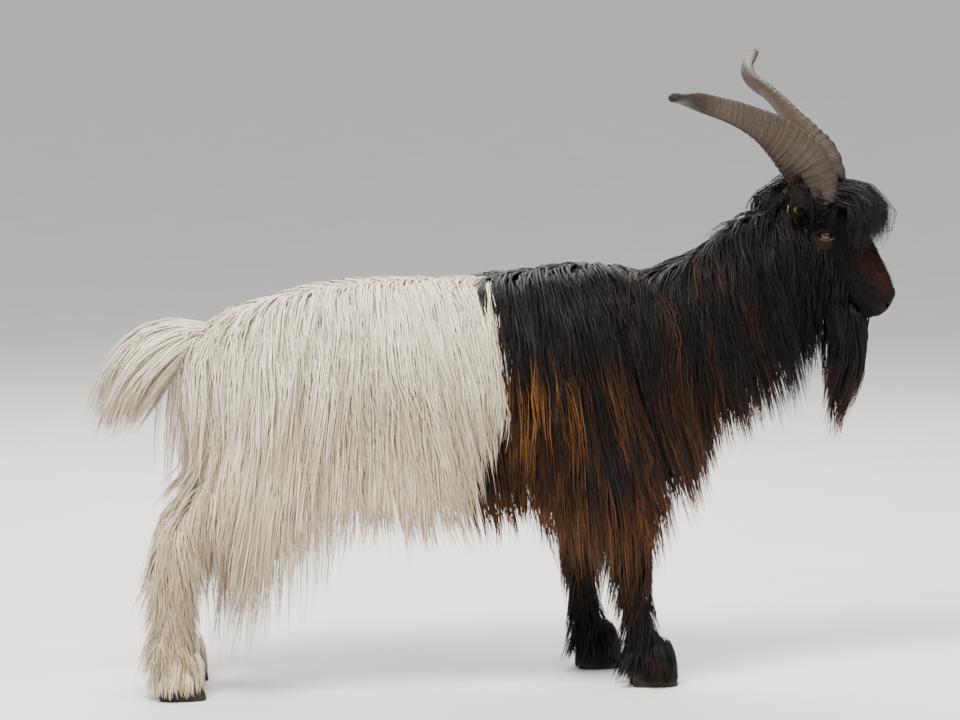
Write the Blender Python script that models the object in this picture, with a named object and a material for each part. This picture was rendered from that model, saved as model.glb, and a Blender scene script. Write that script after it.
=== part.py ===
"""A Valais blackneck goat, a long-haired buck standing square, modelled life-size as closed solids.

The goat faces +X, its left side is +Y, and the ground is z = 0. Sizes are in metres.
"""
import math
import random

import bpy
import bmesh
from mathutils import Matrix, Vector
from mathutils.bvhtree import BVHTree

GAP = 0.0003            # clear space between two touching nodes
FAR = 3.0               # half size of the boxes that cut the body into nodes

# Head frame: its origin is the top of the nose, +X runs down the bridge to the lips, +Z is the bridge side
NOSE = Vector((0.8157, -0.065, 0.7658))
HEAD_YAW = math.radians(-27)
HEAD_ROLL = math.radians(6)
HEAD_PITCH = math.radians(55)
HEAD = (Matrix.Translation(NOSE) @ Matrix.Rotation(HEAD_YAW, 4, "Z")
        @ Matrix.Rotation(HEAD_ROLL, 4, "X") @ Matrix.Rotation(HEAD_PITCH, 4, "Y"))

# Torso under the coat: x, height of the middle, half width, half height
TORSO = (
    (-0.555, 0.620, 0.030, 0.045),
    (-0.530, 0.615, 0.075, 0.090),
    (-0.470, 0.612, 0.120, 0.130),
    (-0.380, 0.604, 0.146, 0.166),
    (-0.280, 0.599, 0.158, 0.188),
    (-0.150, 0.595, 0.176, 0.200),
    (-0.020, 0.592, 0.182, 0.203),
    (0.110, 0.600, 0.170, 0.211),
    (0.220, 0.611, 0.152, 0.211),
    (0.310, 0.608, 0.138, 0.192),
    (0.380, 0.590, 0.110, 0.150),
    (0.430, 0.580, 0.065, 0.095),
    (0.450, 0.580, 0.025, 0.040),
)
# Neck: x, y, z of the middle, half width, half depth across the neck
NECK = (
    (0.230, 0.000, 0.620, 0.110, 0.140),
    (0.310, 0.000, 0.645, 0.115, 0.150),
    (0.400, 0.000, 0.685, 0.100, 0.132),
    (0.490, 0.000, 0.745, 0.086, 0.112),
    (0.560, -0.003, 0.808, 0.074, 0.098),
    (0.615, -0.012, 0.850, 0.062, 0.080),
    (0.655, -0.022, 0.872, 0.045, 0.055),
    (0.680, -0.028, 0.880, 0.022, 0.026),
)
# Head, in the head frame: x, top, bottom, half width
SKULL = (
    (0.027, -0.040, -0.058, 0.010),
    (0.021, -0.024, -0.068, 0.021),
    (0.009, -0.008, -0.077, 0.029),
    (-0.010, 0.000, -0.082, 0.032),
    (-0.040, 0.008, -0.088, 0.032),
    (-0.080, 0.014, -0.100, 0.034),
    (-0.120, 0.019, -0.116, 0.044),
    (-0.160, 0.025, -0.134, 0.056),
    (-0.200, 0.033, -0.148, 0.062),
    (-0.240, 0.030, -0.152, 0.062),
    (-0.272, 0.012, -0.142, 0.054),
    (-0.295, -0.020, -0.118, 0.036),
)
# Legs: x, y of the near side, z, half width across, half depth fore and aft. The coat on the shank is counted in.
FORE_LEG = (
    (0.250, 0.085, 0.560, 0.052, 0.090),
    (0.250, 0.100, 0.460, 0.048, 0.070),
    (0.268, 0.106, 0.350, 0.034, 0.042),
    (0.284, 0.108, 0.240, 0.028, 0.030),
    (0.290, 0.108, 0.170, 0.023, 0.024),
    (0.300, 0.108, 0.100, 0.029, 0.031),
    (0.312, 0.108, 0.062, 0.032, 0.038),
    (0.318, 0.108, 0.048, 0.034, 0.040),
)
HIND_LEG = (
    (-0.380, 0.080, 0.620, 0.060, 0.110),
    (-0.395, 0.098, 0.520, 0.054, 0.100),
    (-0.470, 0.108, 0.430, 0.042, 0.066),
    (-0.575, 0.112, 0.345, 0.032, 0.042),
    (-0.612, 0.112, 0.290, 0.029, 0.036),
    (-0.618, 0.112, 0.180, 0.027, 0.030),
    (-0.622, 0.112, 0.100, 0.031, 0.036),
    (-0.612, 0.112, 0.062, 0.033, 0.040),
    (-0.606, 0.112, 0.048, 0.034, 0.042),
)
FORE_STEP_LEFT = Vector((-0.063, 0.012, 0.0))     # the left fore foot stands further back and out
HIND_STEP_LEFT = Vector((0.030, 0.000, 0.0))
TAIL = (
    (-0.490, 0.680, 0.036, 0.028),
    (-0.550, 0.690, 0.030, 0.024),
    (-0.610, 0.690, 0.034, 0.028),
    (-0.655, 0.672, 0.036, 0.034),
    (-0.690, 0.635, 0.034, 0.034),
    (-0.712, 0.590, 0.024, 0.026),
    (-0.725, 0.555, 0.008, 0.010),
)
# Lower edge of the coat at each side: x, z
HEM = (
    (-0.56, 0.37), (-0.53, 0.22), (-0.50, 0.06), (-0.44, 0.11), (-0.38, 0.17), (-0.32, 0.24), (-0.26, 0.28),
    (-0.11, 0.27), (-0.02, 0.28), (0.04, 0.31), (0.10, 0.34), (0.15, 0.24), (0.19, 0.19), (0.30, 0.20),
    (0.36, 0.25), (0.40, 0.30), (0.45, 0.37), (0.50, 0.45), (0.56, 0.47), (0.62, 0.50),
)
LEG_TOP = 0.40          # the legs leave the body below this height
LEG_OUT = 0.170         # the coat hangs outside this distance from the middle
LEG_IN = 0.046          # the legs stand between this distance and LEG_OUT
LEG_ROOM = {"fore": (0.135, 0.082), "hind": (0.100, 0.220)}     # how far the room of a leg runs behind and before its foot
TAIL_ROOM = ((-1.00, -0.095, 0.470), (-0.578, 0.095, 0.90))
# Lean of the hanging coat, forward is positive: x, run per unit of drop
LEAN = ((-0.62, -0.30), (-0.48, -0.18), (-0.30, 0.02), (-0.10, 0.20), (0.01, 0.06), (0.06, 0.08), (0.18, 0.20), (0.70, 0.24))
# Rows of locks on each side of the body: degrees from the spine, spacing, length (0 reaches the hem), width
COAT_ROWS = (
    (5, 0.098, 0.270, 0.088),
    (44, 0.098, 0.300, 0.088),
    (76, 0.094, 0.0, 0.084),
    (108, 0.094, 0.0, 0.082),
)
# Rows on each side of the neck: degrees from the crest, spacing along the neck, length, width
NECK_ROWS = (
    (8, 0.098, 0.190, 0.070),
    (58, 0.098, 0.230, 0.070),
    (108, 0.094, 0.230, 0.066),
    (158, 0.100, 0.210, 0.060),
)
LOCK_THICK = 0.016
LOCK_STEPS = 4
HORN = (                # in the head frame: x, outward and z of the middle, depth, thickness per depth, turn in degrees
    (-0.225, 0.032, -0.020, 0.098, 0.60, 0), (-0.290, 0.045, 0.006, 0.096, 0.56, 10), (-0.337, 0.060, 0.006, 0.089, 0.50, 28),
    (-0.380, 0.081, 0.001, 0.078, 0.47, 42), (-0.420, 0.112, -0.007, 0.066, 0.45, 51), (-0.460, 0.144, -0.022, 0.054, 0.46, 50),
    (-0.493, 0.171, -0.040, 0.042, 0.52, 36), (-0.517, 0.206, -0.050, 0.036, 0.58, 16), (-0.534, 0.255, -0.053, 0.030, 0.66, 4),
    (-0.547, 0.322, -0.050, 0.024, 0.78, 0),
)
EYE = Vector((-0.166, 0.0475, -0.040))
EYE_RADIUS = 0.0145
LID_RADIUS = 0.0172
MOUTH = -0.0600         # height of the mouth line in the head frame
EAR_LENGTH = 0.125
EAR_WIDTH = 0.050
HOOF_LENGTH = 0.088
HOOF_WIDTH = 0.032
HOOF_HEIGHT = 0.048

SIDES = (("right", -1), ("left", 1))
COLOUR_PLANE = (Vector((0.012, 0, 0.80)), Vector((1, 0, 0.10)))
NECK_PLANE = (Vector((0.33, 0, 0.82)), Vector((1, 0, 0.18)))
HEAD_PLANE = (Vector((0.618, 0, 0)), Vector((math.cos(HEAD_YAW), math.sin(HEAD_YAW), 0)))
FORE_FEATHERS = (
    (0.335, (90, 160), 0.14),
    (0.215, (40, 130, 200), 0.14),
    (0.105, (10, 82, 154, 226, 298), 0.075),
)
HIND_FEATHERS = (
    (0.335, (70, 150), 0.14),
    (0.225, (30, 110, 190), 0.14),
    (0.112, (10, 82, 154, 226, 298), 0.085),
)
BEARD_ROOM = ((-0.045, -0.09, -0.60), (0.40, 0.09, -0.092))     # in the head frame


COLOURS = {
    "black_coat": (0.012, 0.010, 0.010), "white_coat": (0.78, 0.72, 0.60), "horn": (0.23, 0.18, 0.13),
    "hoof": (0.05, 0.04, 0.035), "eye": (0.55, 0.38, 0.12), "tag": (0.85, 0.62, 0.05),
}
SHINE = {"horn": 0.55, "hoof": 0.6, "eye": 0.1, "tag": 0.4}


def clear_scene():
    for thing in list(bpy.data.objects):
        bpy.data.objects.remove(thing)


def material(name):
    found = bpy.data.materials.get(name)
    if found:
        return found
    made = bpy.data.materials.new(name)
    made.use_nodes = True
    shader = made.node_tree.nodes["Principled BSDF"]
    shader.inputs["Base Color"].default_value = (*COLOURS[name], 1)
    shader.inputs["Roughness"].default_value = SHINE.get(name, 0.8)
    return made


def solid(name, points, faces):
    """A mesh object from points and faces, its faces turned outwards."""
    mesh = bpy.data.meshes.new(name)
    mesh.from_pydata([tuple(p) for p in points], [], faces)
    shape = bmesh.new()
    shape.from_mesh(mesh)
    bmesh.ops.recalc_face_normals(shape, faces=shape.faces)
    shape.to_mesh(mesh)
    shape.free()
    made = bpy.data.objects.new(name, mesh)
    bpy.context.scene.collection.objects.link(made)
    return made


def ring(middle, side, up, half_width, half_up, half_down, count, power=1.0):
    """Points round an oval. A power under 1 makes it squarer."""
    points = []
    for k in range(count):
        turn = 2 * math.pi * (k + 0.5) / count
        c, s = math.cos(turn), math.sin(turn)
        across = math.copysign(abs(c) ** power, c) * half_width
        rise = math.copysign(abs(s) ** power, s) * (half_up if s > 0 else half_down)
        points.append(middle + side * across + up * rise)
    return points


def skin_rings(name, rings):
    """A closed body through rings of equal count, with flat ends."""
    count = len(rings[0])
    points = [p for loop in rings for p in loop]
    faces = [tuple(range(count)), tuple(range(len(points) - count, len(points)))]
    for i in range(len(rings) - 1):
        for k in range(count):
            a, b = i * count + k, i * count + (k + 1) % count
            faces.append((a, b, b + count, a + count))
    return solid(name, points, faces)


def smooth_line(points, steps):
    """Points on a Catmull-Rom curve through the given ones, steps to each span."""
    line = []
    for i in range(len(points) - 1):
        before, start = points[max(i - 1, 0)], points[i]
        end, after = points[i + 1], points[min(i + 2, len(points) - 1)]
        for k in range(steps):
            t = k / steps
            line.append(0.5 * ((2 * start) + (end - before) * t
                               + (2 * before - 5 * start + 4 * end - after) * t * t
                               + (3 * start - before - 3 * end + after) * t ** 3))
    line.append(points[-1].copy())
    return line


def swept(name, line, widths, depths, count=10, side=Vector((0, 1, 0)), power=1.0):
    """An oval tube along a line, width measured along side and depth across it."""
    rings = []
    for i, middle in enumerate(line):
        along = (line[min(i + 1, len(line) - 1)] - line[max(i - 1, 0)]).normalized()
        across = (side - along * side.dot(along)).normalized()
        up = along.cross(across)
        rings.append(ring(middle, across, up, widths[i], depths[i], depths[i], count, power))
    return skin_rings(name, rings)


def union(name, pieces):
    """All pieces joined into one closed mesh."""
    group = bpy.data.collections.new(name + "_pieces")
    bpy.context.scene.collection.children.link(group)
    base, others = pieces[0], pieces[1:]
    for piece in others:
        group.objects.link(piece)
    if others:
        join = base.modifiers.new("join", "BOOLEAN")
        join.operation = "UNION"
        join.operand_type = "COLLECTION"
        join.collection = group
        join.solver = "MANIFOLD"
        apply_modifiers(base)
    for piece in others:
        bpy.data.objects.remove(piece)
    bpy.data.collections.remove(group)
    base.name = name
    return base


def apply_modifiers(thing):
    graph = bpy.context.evaluated_depsgraph_get()
    made = bpy.data.meshes.new_from_object(thing.evaluated_get(graph))
    thing.modifiers.clear()
    thing.data = made


def cut(thing, cutters):
    """The cutters taken away from thing, one after another."""
    for cutter in cutters:
        part = thing.modifiers.new("cut", "BOOLEAN")
        part.operation = "DIFFERENCE"
        part.object = cutter
        part.solver = "MANIFOLD"
        apply_modifiers(thing)
    return thing


def copy_of(thing, name):
    made = bpy.data.objects.new(name, thing.data.copy())
    bpy.context.scene.collection.objects.link(made)
    return made


def box(name, low, high):
    points = [(x, y, z) for x in (low[0], high[0]) for y in (low[1], high[1]) for z in (low[2], high[2])]
    faces = [(0, 1, 3, 2), (4, 6, 7, 5), (0, 4, 5, 1), (2, 3, 7, 6), (0, 2, 6, 4), (1, 5, 7, 3)]
    return solid(name, points, faces)


def half_space(point, normal, offset=GAP / 2):
    """A big box on the side that the normal points to, standing off the plane by the offset."""
    normal = Vector(normal).normalized()
    made = box("side", (0, -FAR, -FAR), (2 * FAR, FAR, FAR))
    turn = Vector((1, 0, 0)).rotation_difference(normal).to_matrix().to_4x4()
    made.data.transform(Matrix.Translation(Vector(point) - normal * offset) @ turn)
    return made


def largest_shell(thing):
    """Keeps only the closed surface of the largest volume."""
    shape = bmesh.new()
    shape.from_mesh(thing.data)
    bmesh.ops.triangulate(shape, faces=shape.faces)
    left, shells = set(shape.faces), []
    while left:
        seed = left.pop()
        shell, open_faces = {seed}, [seed]
        while open_faces:
            face = open_faces.pop()
            for edge in [e for e in face.edges if len(e.link_faces) == 2]:
                for other in edge.link_faces:
                    if other in left:
                        left.remove(other)
                        shell.add(other)
                        open_faces.append(other)
        volume = sum(f.verts[0].co.dot(f.verts[1].co.cross(f.verts[2].co)) for f in shell) / 6
        shells.append((volume, shell))
    best = max(shells, key=lambda pair: pair[0])[1]
    bmesh.ops.delete(shape, geom=[f for f in shape.faces if f not in best], context="FACES")
    shape.to_mesh(thing.data)
    shape.free()
    return len(shells) - 1


def finish_node(thing, name, slot):
    dropped = largest_shell(thing)
    thing.name = name
    thing.data.materials.clear()
    thing.data.materials.append(material(slot))
    thing.data.shade_smooth()
    thing.data.set_sharp_from_angle(angle=math.radians(40))
    print(name, len(thing.data.polygons), "triangles,", dropped, "scraps dropped")
    return thing


def between(table, x):
    """Straight-line reading of a two-column table."""
    if x <= table[0][0]:
        return table[0][1]
    for (x0, v0), (x1, v1) in zip(table, table[1:]):
        if x <= x1:
            return v0 + (v1 - v0) * (x - x0) / (x1 - x0)
    return table[-1][1]


def torso_core():
    rings = [ring(Vector((x, 0, z)), Vector((0, 1, 0)), Vector((0, 0, 1)), wide, tall, tall, 18, 0.9)
             for x, z, wide, tall in TORSO]
    return skin_rings("torso", rings)


def neck_core():
    line = [Vector(s[:3]) for s in NECK]
    return swept("neck", line, [s[3] for s in NECK], [s[4] for s in NECK], count=16)


def head_core():
    rings = []
    for x, top, bottom, wide in SKULL:
        middle = Vector((x, 0, bottom + (top - bottom) * 0.45))
        rings.append(ring(middle, Vector((0, 1, 0)), Vector((0, 0, 1)), wide, top - middle.z,
                          middle.z - bottom, 20, 0.88))
    made = skin_rings("head", rings)
    made.data.transform(HEAD)
    return made


def leg_core(name, stations, sign, step):
    """One leg. The foot is moved by step, and the leg leans to meet it."""
    top = stations[0][2]
    line = []
    for x, y, z, *_ in stations:
        share = min(1.0, max(0.0, (top - z) / (top - 0.25)))
        line.append(Vector((x, sign * y, z)) + step * share)
    widths, depths = [s[3] for s in stations], [s[4] for s in stations]
    rings = [ring(p, Vector((0, 1, 0)), Vector((1, 0, 0)), w, d, d, 12)
             for p, w, d in zip(line, widths, depths)]
    return skin_rings(name, rings), line


def beard_core():
    line = [HEAD @ Vector(p) for p in ((-0.010, 0, -0.060), (0.025, 0, -0.110), (0.070, 0, -0.165), (0.100, 0, -0.200))]
    return swept("beard", line, (0.022, 0.020, 0.015, 0.005), (0.026, 0.024, 0.018, 0.006), count=8)


def forelock_core():
    line = [HEAD @ Vector(p) for p in ((-0.235, 0, 0.015), (-0.205, 0, 0.038), (-0.165, 0, 0.044), (-0.125, 0, 0.030))]
    return swept("forelock", line, (0.030, 0.036, 0.032, 0.010), (0.014, 0.018, 0.016, 0.006), count=8)


def tail_core():
    line = [Vector((x, 0, z)) for x, z, _, _ in TAIL]
    return swept("tail", line, [s[2] for s in TAIL], [s[3] for s in TAIL], count=12)


def lock(points, outs, width, thick=LOCK_THICK):
    """A flat tapered lock of hair along points: a low ridge outside, a flat back and a narrow tip."""
    last = len(points) - 1
    rings = []
    for i, (at, out) in enumerate(zip(points, outs)):
        t = i / last
        along = (points[min(i + 1, last)] - points[max(i - 1, 0)]).normalized()
        out = (out - along * out.dot(along)).normalized()
        side = along.cross(out)
        half = width / 2 * between(((0.0, 0.60), (0.25, 1.0), (0.60, 0.86), (0.85, 0.50), (1.0, 0.10)), t)
        rise = thick * between(((0.0, 0.8), (0.6, 1.0), (1.0, 0.25)), t)
        rings.append([at - side * half - out * rise * 0.45, at + out * rise * 0.55, at + side * half - out * rise * 0.45])
    return skin_rings("lock", rings)


def draped(tree, root, length, lift, lie, chance, steps, sink, limit):
    """Points and outward directions of a lock that lies on the body and hangs free below it."""
    step = length / steps
    near, normal, _, _ = tree.find_nearest(root)
    at = near - normal * sink
    points, outs = [at], [normal]
    out = normal
    wave = chance.uniform(0, 2 * math.pi)
    for i in range(1, steps + 1):
        heading = lie(at, normal)
        heading += normal.cross(heading) * (0.13 * math.sin(wave + 1.7 * i))
        into = heading.dot(normal)
        close = (at - near).length < lift * 1.6 + sink
        if close and into < 0:
            heading -= normal * into
        at = at + heading.normalized() * step
        near, normal, _, _ = tree.find_nearest(at)
        away = at - near
        inside = away.dot(normal) < 0
        wanted = lift * min(1.0, 0.35 + i / steps)
        if inside or away.length < wanted:
            at = near + normal * wanted
        elif away.length > 1e-6:
            normal = away.normalized()
        if limit:
            at = limit(at)
        out = (out * 0.5 + normal * 0.5).normalized()
        points.append(at.copy())
        outs.append(out.copy())
    return points, outs


def coat_lie(at, normal):
    """The way the coat falls: down, leaning fore or aft by place, and off the spine to its own side."""
    sideways = math.copysign(max(0.0, normal.z) * 0.9, at.y)
    return Vector((between(LEAN, at.x), sideways, -1.0))


def outside_legs(at):
    """Keeps the hanging coat clear of the room that the legs stand in."""
    if at.z < LEG_TOP + 0.03:
        at.y = math.copysign(max(abs(at.y), LEG_OUT + 0.011), at.y)
    return at


def clear_of_tail(at):
    """Keeps the hair of the rump clear of the room that the tail hangs in."""
    if at.z > TAIL_ROOM[0][2] - 0.02 and abs(at.y) < TAIL_ROOM[1][1] + 0.015:
        at.x = max(at.x, TAIL_ROOM[1][0] + 0.012)
    return at


def one_lock(tree, root, length, width, lie, chance, limit=None, lift=(0.012, 0.020), sink=0.010, steps=LOCK_STEPS):
    points, outs = draped(tree, root, length, chance.uniform(*lift), lie, chance, steps, sink, limit)
    return lock(points, outs, width * chance.uniform(0.85, 1.15), LOCK_THICK * min(1.0, width / 0.045))


def coat_locks(tree, sign, x_low, x_high, chance):
    """Rows of locks down one side of the body, between two stations."""
    made = []
    for number, (degrees, spacing, length, width) in enumerate(COAT_ROWS):
        count = max(2, round((x_high - x_low) / spacing))
        for k in range(count):
            x = x_low + (x_high - x_low) * (k + (0.3 if number % 2 else 0.7)) / count + chance.uniform(-0.008, 0.008)
            angle = math.radians(degrees + chance.uniform(-4, 4))
            start = Vector((x, 0, between([(s[0], s[1]) for s in TORSO], x)))
            root = tree.ray_cast(start, Vector((0, sign * math.sin(angle), math.cos(angle))))[0]
            reach = length * chance.uniform(0.88, 1.10)
            if length == 0.0:
                foot_x = x + between(LEAN, x) * (root.z - between(HEM, x))
                reach = (root.z - between(HEM, foot_x)) * chance.uniform(0.93, 1.06) + 0.02
            made.append(one_lock(tree, root, max(reach, 0.08), width, coat_lie, chance, outside_legs))
    return made


def rump_locks(tree, sign, chance):
    """Hair that hangs down behind the thighs."""
    made = []
    for height, turns, length in ((0.665, (66, 30), 0.24), (0.560, (60, 18), 0.22)):
        for degrees in turns:
            angle = math.radians(degrees + chance.uniform(-4, 4))
            way = Vector((-math.cos(angle), sign * math.sin(angle), 0))
            root = tree.ray_cast(Vector((-0.45, sign * 0.01, height)), way)[0]
            made.append(one_lock(tree, root, length * chance.uniform(0.9, 1.1), 0.070, coat_lie, chance, clear_of_tail, steps=4))
    return made


def belly_locks(tree, sign, x_low, x_high, chance):
    """Hair under the belly, between the two curtains."""
    made = []
    count = round((x_high - x_low) / 0.11)
    for k in range(count):
        x = x_low + (x_high - x_low) * (k + 0.5) / count
        angle = math.radians(152 + 12 * (k % 2))
        start = Vector((x, 0, between([(s[0], s[1]) for s in TORSO], x)))
        root = tree.ray_cast(start, Vector((0, sign * math.sin(angle), math.cos(angle))))[0]
        fall = Vector((0.10, sign * 0.20, -1.0))
        length = root.z - between(HEM, x) - chance.uniform(0.0, 0.03)
        made.append(one_lock(tree, root, length, 0.070, lambda at, normal: fall.copy(), chance, steps=3))
    return made


def chest_locks(tree, chance):
    """Hair of the breast, hanging before the fore legs."""
    made = []
    for lift, turns in ((12, (-62, -22, 22, 62)), (-32, (-50, 0, 50))):
        for degrees in turns:
            angle, rise = math.radians(degrees + chance.uniform(-4, 4)), math.radians(lift)
            way = Vector((math.cos(angle) * math.cos(rise), math.sin(angle) * math.cos(rise), math.sin(rise)))
            root = tree.ray_cast(Vector((0.33, 0, 0.59)), way)[0]
            length = max(0.12, min(0.24, root.z - between(HEM, root.x + 0.03)) * chance.uniform(0.9, 1.05))
            made.append(one_lock(tree, root, length, 0.062, coat_lie, chance, steps=3))
    return made


def neck_lie(at, normal):
    sideways = math.copysign(max(0.0, normal.z) * 0.9, at.y)
    return Vector((0.20, sideways, -1.0))


def neck_locks(tree, chance):
    """Mane, sides and throat of the neck."""
    made = []
    line = smooth_line([Vector(s[:3]) for s in NECK[1:-1]], 8)
    for number, (degrees, spacing, length, width) in enumerate(NECK_ROWS):
        count = round(sum((b - a).length for a, b in zip(line, line[1:])) / spacing)
        for k in range(count):
            share = (k + (0.35 if number % 2 else 0.75)) / count * (len(line) - 1)
            at, after = line[int(share)], line[int(share) + 1]
            along = (after - at).normalized()
            side = Vector((0, 1, 0))
            up = along.cross(side) * -1
            for sign in (-1, 1):
                angle = math.radians(degrees + chance.uniform(-5, 5))
                root = tree.ray_cast(at, up * math.cos(angle) + side * sign * math.sin(angle))[0]
                if root is None or (root - at).length > 0.20:
                    continue
                made.append(one_lock(tree, root, length * chance.uniform(0.9, 1.12), width, neck_lie, chance, steps=3))
    for x, y, length in ((0.560, -0.045, 0.21), (0.575, 0.040, 0.20), (0.520, 0.000, 0.20), (0.600, 0.015, 0.22)):
        root = tree.ray_cast(Vector((x, y, 0.80)), Vector((0.45, 0, -1)).normalized())[0]
        made.append(one_lock(tree, root, length, 0.050, neck_lie, chance, steps=4))
    return made


def tail_lie(at, normal):
    run = between(((-0.76, -0.06), (-0.70, -0.30), (-0.64, -0.75), (-0.56, -2.2)), at.x)
    return Vector((run, 0, -1.0))


def tail_locks(tree, chance):
    """The plume of the tail."""
    made = []
    line = smooth_line([Vector((x, 0, z)) for x, z, _, _ in TAIL[1:]], 6)
    for share, turns, length in ((0.20, (-60, 0, 60, 140, -140), 0.15), (0.50, (-80, -28, 28, 80, 180), 0.16),
                                 (0.72, (-60, 60), 0.12)):
        place = int(share * (len(line) - 1))
        at, along = line[place], (line[place + 1] - line[place]).normalized()
        side = Vector((0, 1, 0))
        up = along.cross(side)
        up = up if up.z > 0 or up.x < 0 else -up
        for degrees in turns:
            angle = math.radians(degrees)
            root = tree.ray_cast(at, up * math.cos(angle) + side * math.sin(angle))[0]
            made.append(one_lock(tree, root, length * chance.uniform(0.92, 1.08), 0.042, tail_lie, chance,
                                 lift=(0.008, 0.016), steps=4))
    return made


def leg_locks(tree, axis, sign, rows, chance):
    """Feathers of one leg: rows of a height, turns round the leg in degrees from its front, and a length."""
    made = []
    upwards = axis[::-1]

    def stay_in(at):
        at.y = sign * min(max(abs(at.y), LEG_IN + 0.012), LEG_OUT - 0.012)
        at.z = max(at.z, 0.014)
        return at

    for height, turns, length in rows:
        start = Vector((between([(p.z, p.x) for p in upwards], height), between([(p.z, p.y) for p in upwards], height), height))
        for degrees in turns:
            angle = math.radians(degrees)
            way = Vector((math.cos(angle), sign * math.sin(angle), 0))
            root = tree.ray_cast(start, way)[0]
            fall = way * 0.18 + Vector((0, 0, -1))
            made.append(one_lock(tree, root, length * chance.uniform(0.9, 1.08), 0.044,
                                 lambda at, normal: fall.copy(), chance, stay_in, (0.006, 0.011), 0.008, 3))
    return made


def arc_lock(places, width, thick=0.012):
    """A lock through places given in the head frame, its ridge away from the skull."""
    line = [Vector(p) for p in places]
    outs = []
    for at in line:
        away = at - Vector((-0.16, 0.0, -0.05))
        outs.append(away.normalized())
    made = lock(line, outs, width, thick)
    made.data.transform(HEAD)
    return made


def forelock_locks(chance):
    """The forelock, falling from the poll over the brow."""
    made = []
    for k in range(5):
        c = (k - 2) / 2
        y, d = 0.032 * c, chance.uniform(-0.006, 0.006)
        made.append(arc_lock(((-0.238, y * 0.7, 0.012), (-0.212, y, 0.056 - 0.014 * abs(c) + d),
                              (-0.165, y * 1.15, 0.068 - 0.018 * abs(c)), (-0.122 - 2 * d, y * 1.25, 0.052 - 0.016 * abs(c) + d),
                              (-0.092 + 2 * d, y * 1.2, 0.026 - 0.008 * abs(c))), 0.030))
    return made


def beard_locks(chance):
    made = []
    for k in range(5):
        c = (k - 2) / 2
        y, d = 0.022 * c, chance.uniform(-0.012, 0.012)
        made.append(arc_lock(((0.004 - 0.016 * (k % 2), y * 0.6, -0.060), (0.030 - 0.020 * (k % 2), y, -0.110),
                              (0.075 - 0.018 * (k % 2), y * 1.1, -0.170), (0.120 + d, y * 0.9, -0.225),
                              (0.158 + 1.4 * d - 0.012 * abs(c), y * 0.5, -0.268 - d)), 0.034, 0.016))
    return made


def cheek_locks(tree, chance):
    """Hair of the cheeks and of the throat behind the jaw."""
    made = []
    for sign in (-1, 1):
        for x, z, length in ((-0.235, -0.085, 0.15), (-0.205, -0.125, 0.17), (-0.225, -0.142, 0.22), (-0.175, -0.128, 0.15)):
            start = HEAD @ Vector((x, 0, z))
            root = tree.ray_cast(start, HEAD.to_3x3() @ Vector((0, sign, -0.25)).normalized())[0]
            made.append(one_lock(tree, root, length * chance.uniform(0.9, 1.1), 0.032,
                                 lambda at, normal: Vector((0.05, 0, -1.0)), chance, lift=(0.006, 0.010), sink=0.008, steps=4))
    return made


def small_ball(name, middle, sizes, turn=Matrix()):
    """A stretched ball in the head frame."""
    made = ball(name, Vector((0, 0, 0)), 1.0, 12, 8)
    made.data.transform(HEAD @ Matrix.Translation(middle) @ turn @ Matrix.Diagonal((*sizes, 1)))
    return made


def eye_way(sign):
    """The way an eye looks, in the head frame."""
    return Vector((0.30, sign * 0.92, 0.22)).normalized()


def lid_ball(sign):
    return small_ball("lid", Vector((EYE.x, sign * EYE.y, EYE.z)), (LID_RADIUS, LID_RADIUS, LID_RADIUS))


def brow(sign):
    """The bony rim over an eye, running back to the horn."""
    turn = Matrix.Rotation(math.radians(18), 4, "Y")
    return small_ball("brow", Vector((EYE.x - 0.006, sign * (EYE.y - 0.008), EYE.z + 0.015)), (0.040, 0.020, 0.016), turn)


def face_cutters(sign):
    """The opening between the lids, the nostril and the side of the mouth line."""
    way = eye_way(sign)
    long_way = Vector((0.95, 0, -0.30))
    long_way = (long_way - way * long_way.dot(way)).normalized()
    turn = Matrix((long_way, way.cross(long_way), way)).transposed().to_4x4()
    middle = Vector((EYE.x, sign * EYE.y, EYE.z)) + way * LID_RADIUS
    made = [small_ball("opening", middle, (0.0140, 0.0085, 0.011), turn)]
    nose_turn = Matrix.Rotation(sign * math.radians(-22), 4, "Z") @ Matrix.Rotation(math.radians(32), 4, "Y")
    made.append(small_ball("nostril", Vector((0.000, sign * 0.0245, -0.022)), (0.0125, 0.0065, 0.0045), nose_turn))
    low, high = sorted((sign * 0.0215, sign * 0.060))
    made.append(box("mouth_side", (-0.058, low, MOUTH - 0.0009), (0.050, high, MOUTH + 0.0009)))
    made[-1].data.transform(HEAD)
    return made


def horn(sign):
    """A flattened horn that turns on itself on its way out, with a blunt tip."""
    rows = smooth_line([Vector((x, sign * y, z, depth, flat, turn)) for x, y, z, depth, flat, turn in HORN], 2)
    line = [Vector(row[:3]) for row in rows]
    rings = []
    for i, row in enumerate(rows):
        along = (line[min(i + 1, len(line) - 1)] - line[max(i - 1, 0)]).normalized()
        across = (Vector((0, 1, 0)) - along * along.y).normalized()
        up = along.cross(across)
        turn = sign * math.radians(row[5])
        broad = up * math.cos(turn) + across * math.sin(turn)
        thin = across * math.cos(turn) - up * math.sin(turn)
        half = row[3] / 2
        rings.append(ring(line[i], thin, broad, half * row[4], half, half, 12, 1.0))
    tip = line[-1] + (line[-1] - line[-2]).normalized() * HORN[-1][3] * 0.35
    rings.append([tip + (point - line[-1]) * 0.5 for point in rings[-1]])
    made = skin_rings("horn", rings)
    made.data.transform(HEAD)
    shape = bmesh.new()
    shape.from_mesh(made.data)
    bmesh.ops.triangulate(shape, faces=shape.faces[:])
    shape.to_mesh(made.data)
    shape.free()
    return made


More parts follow.
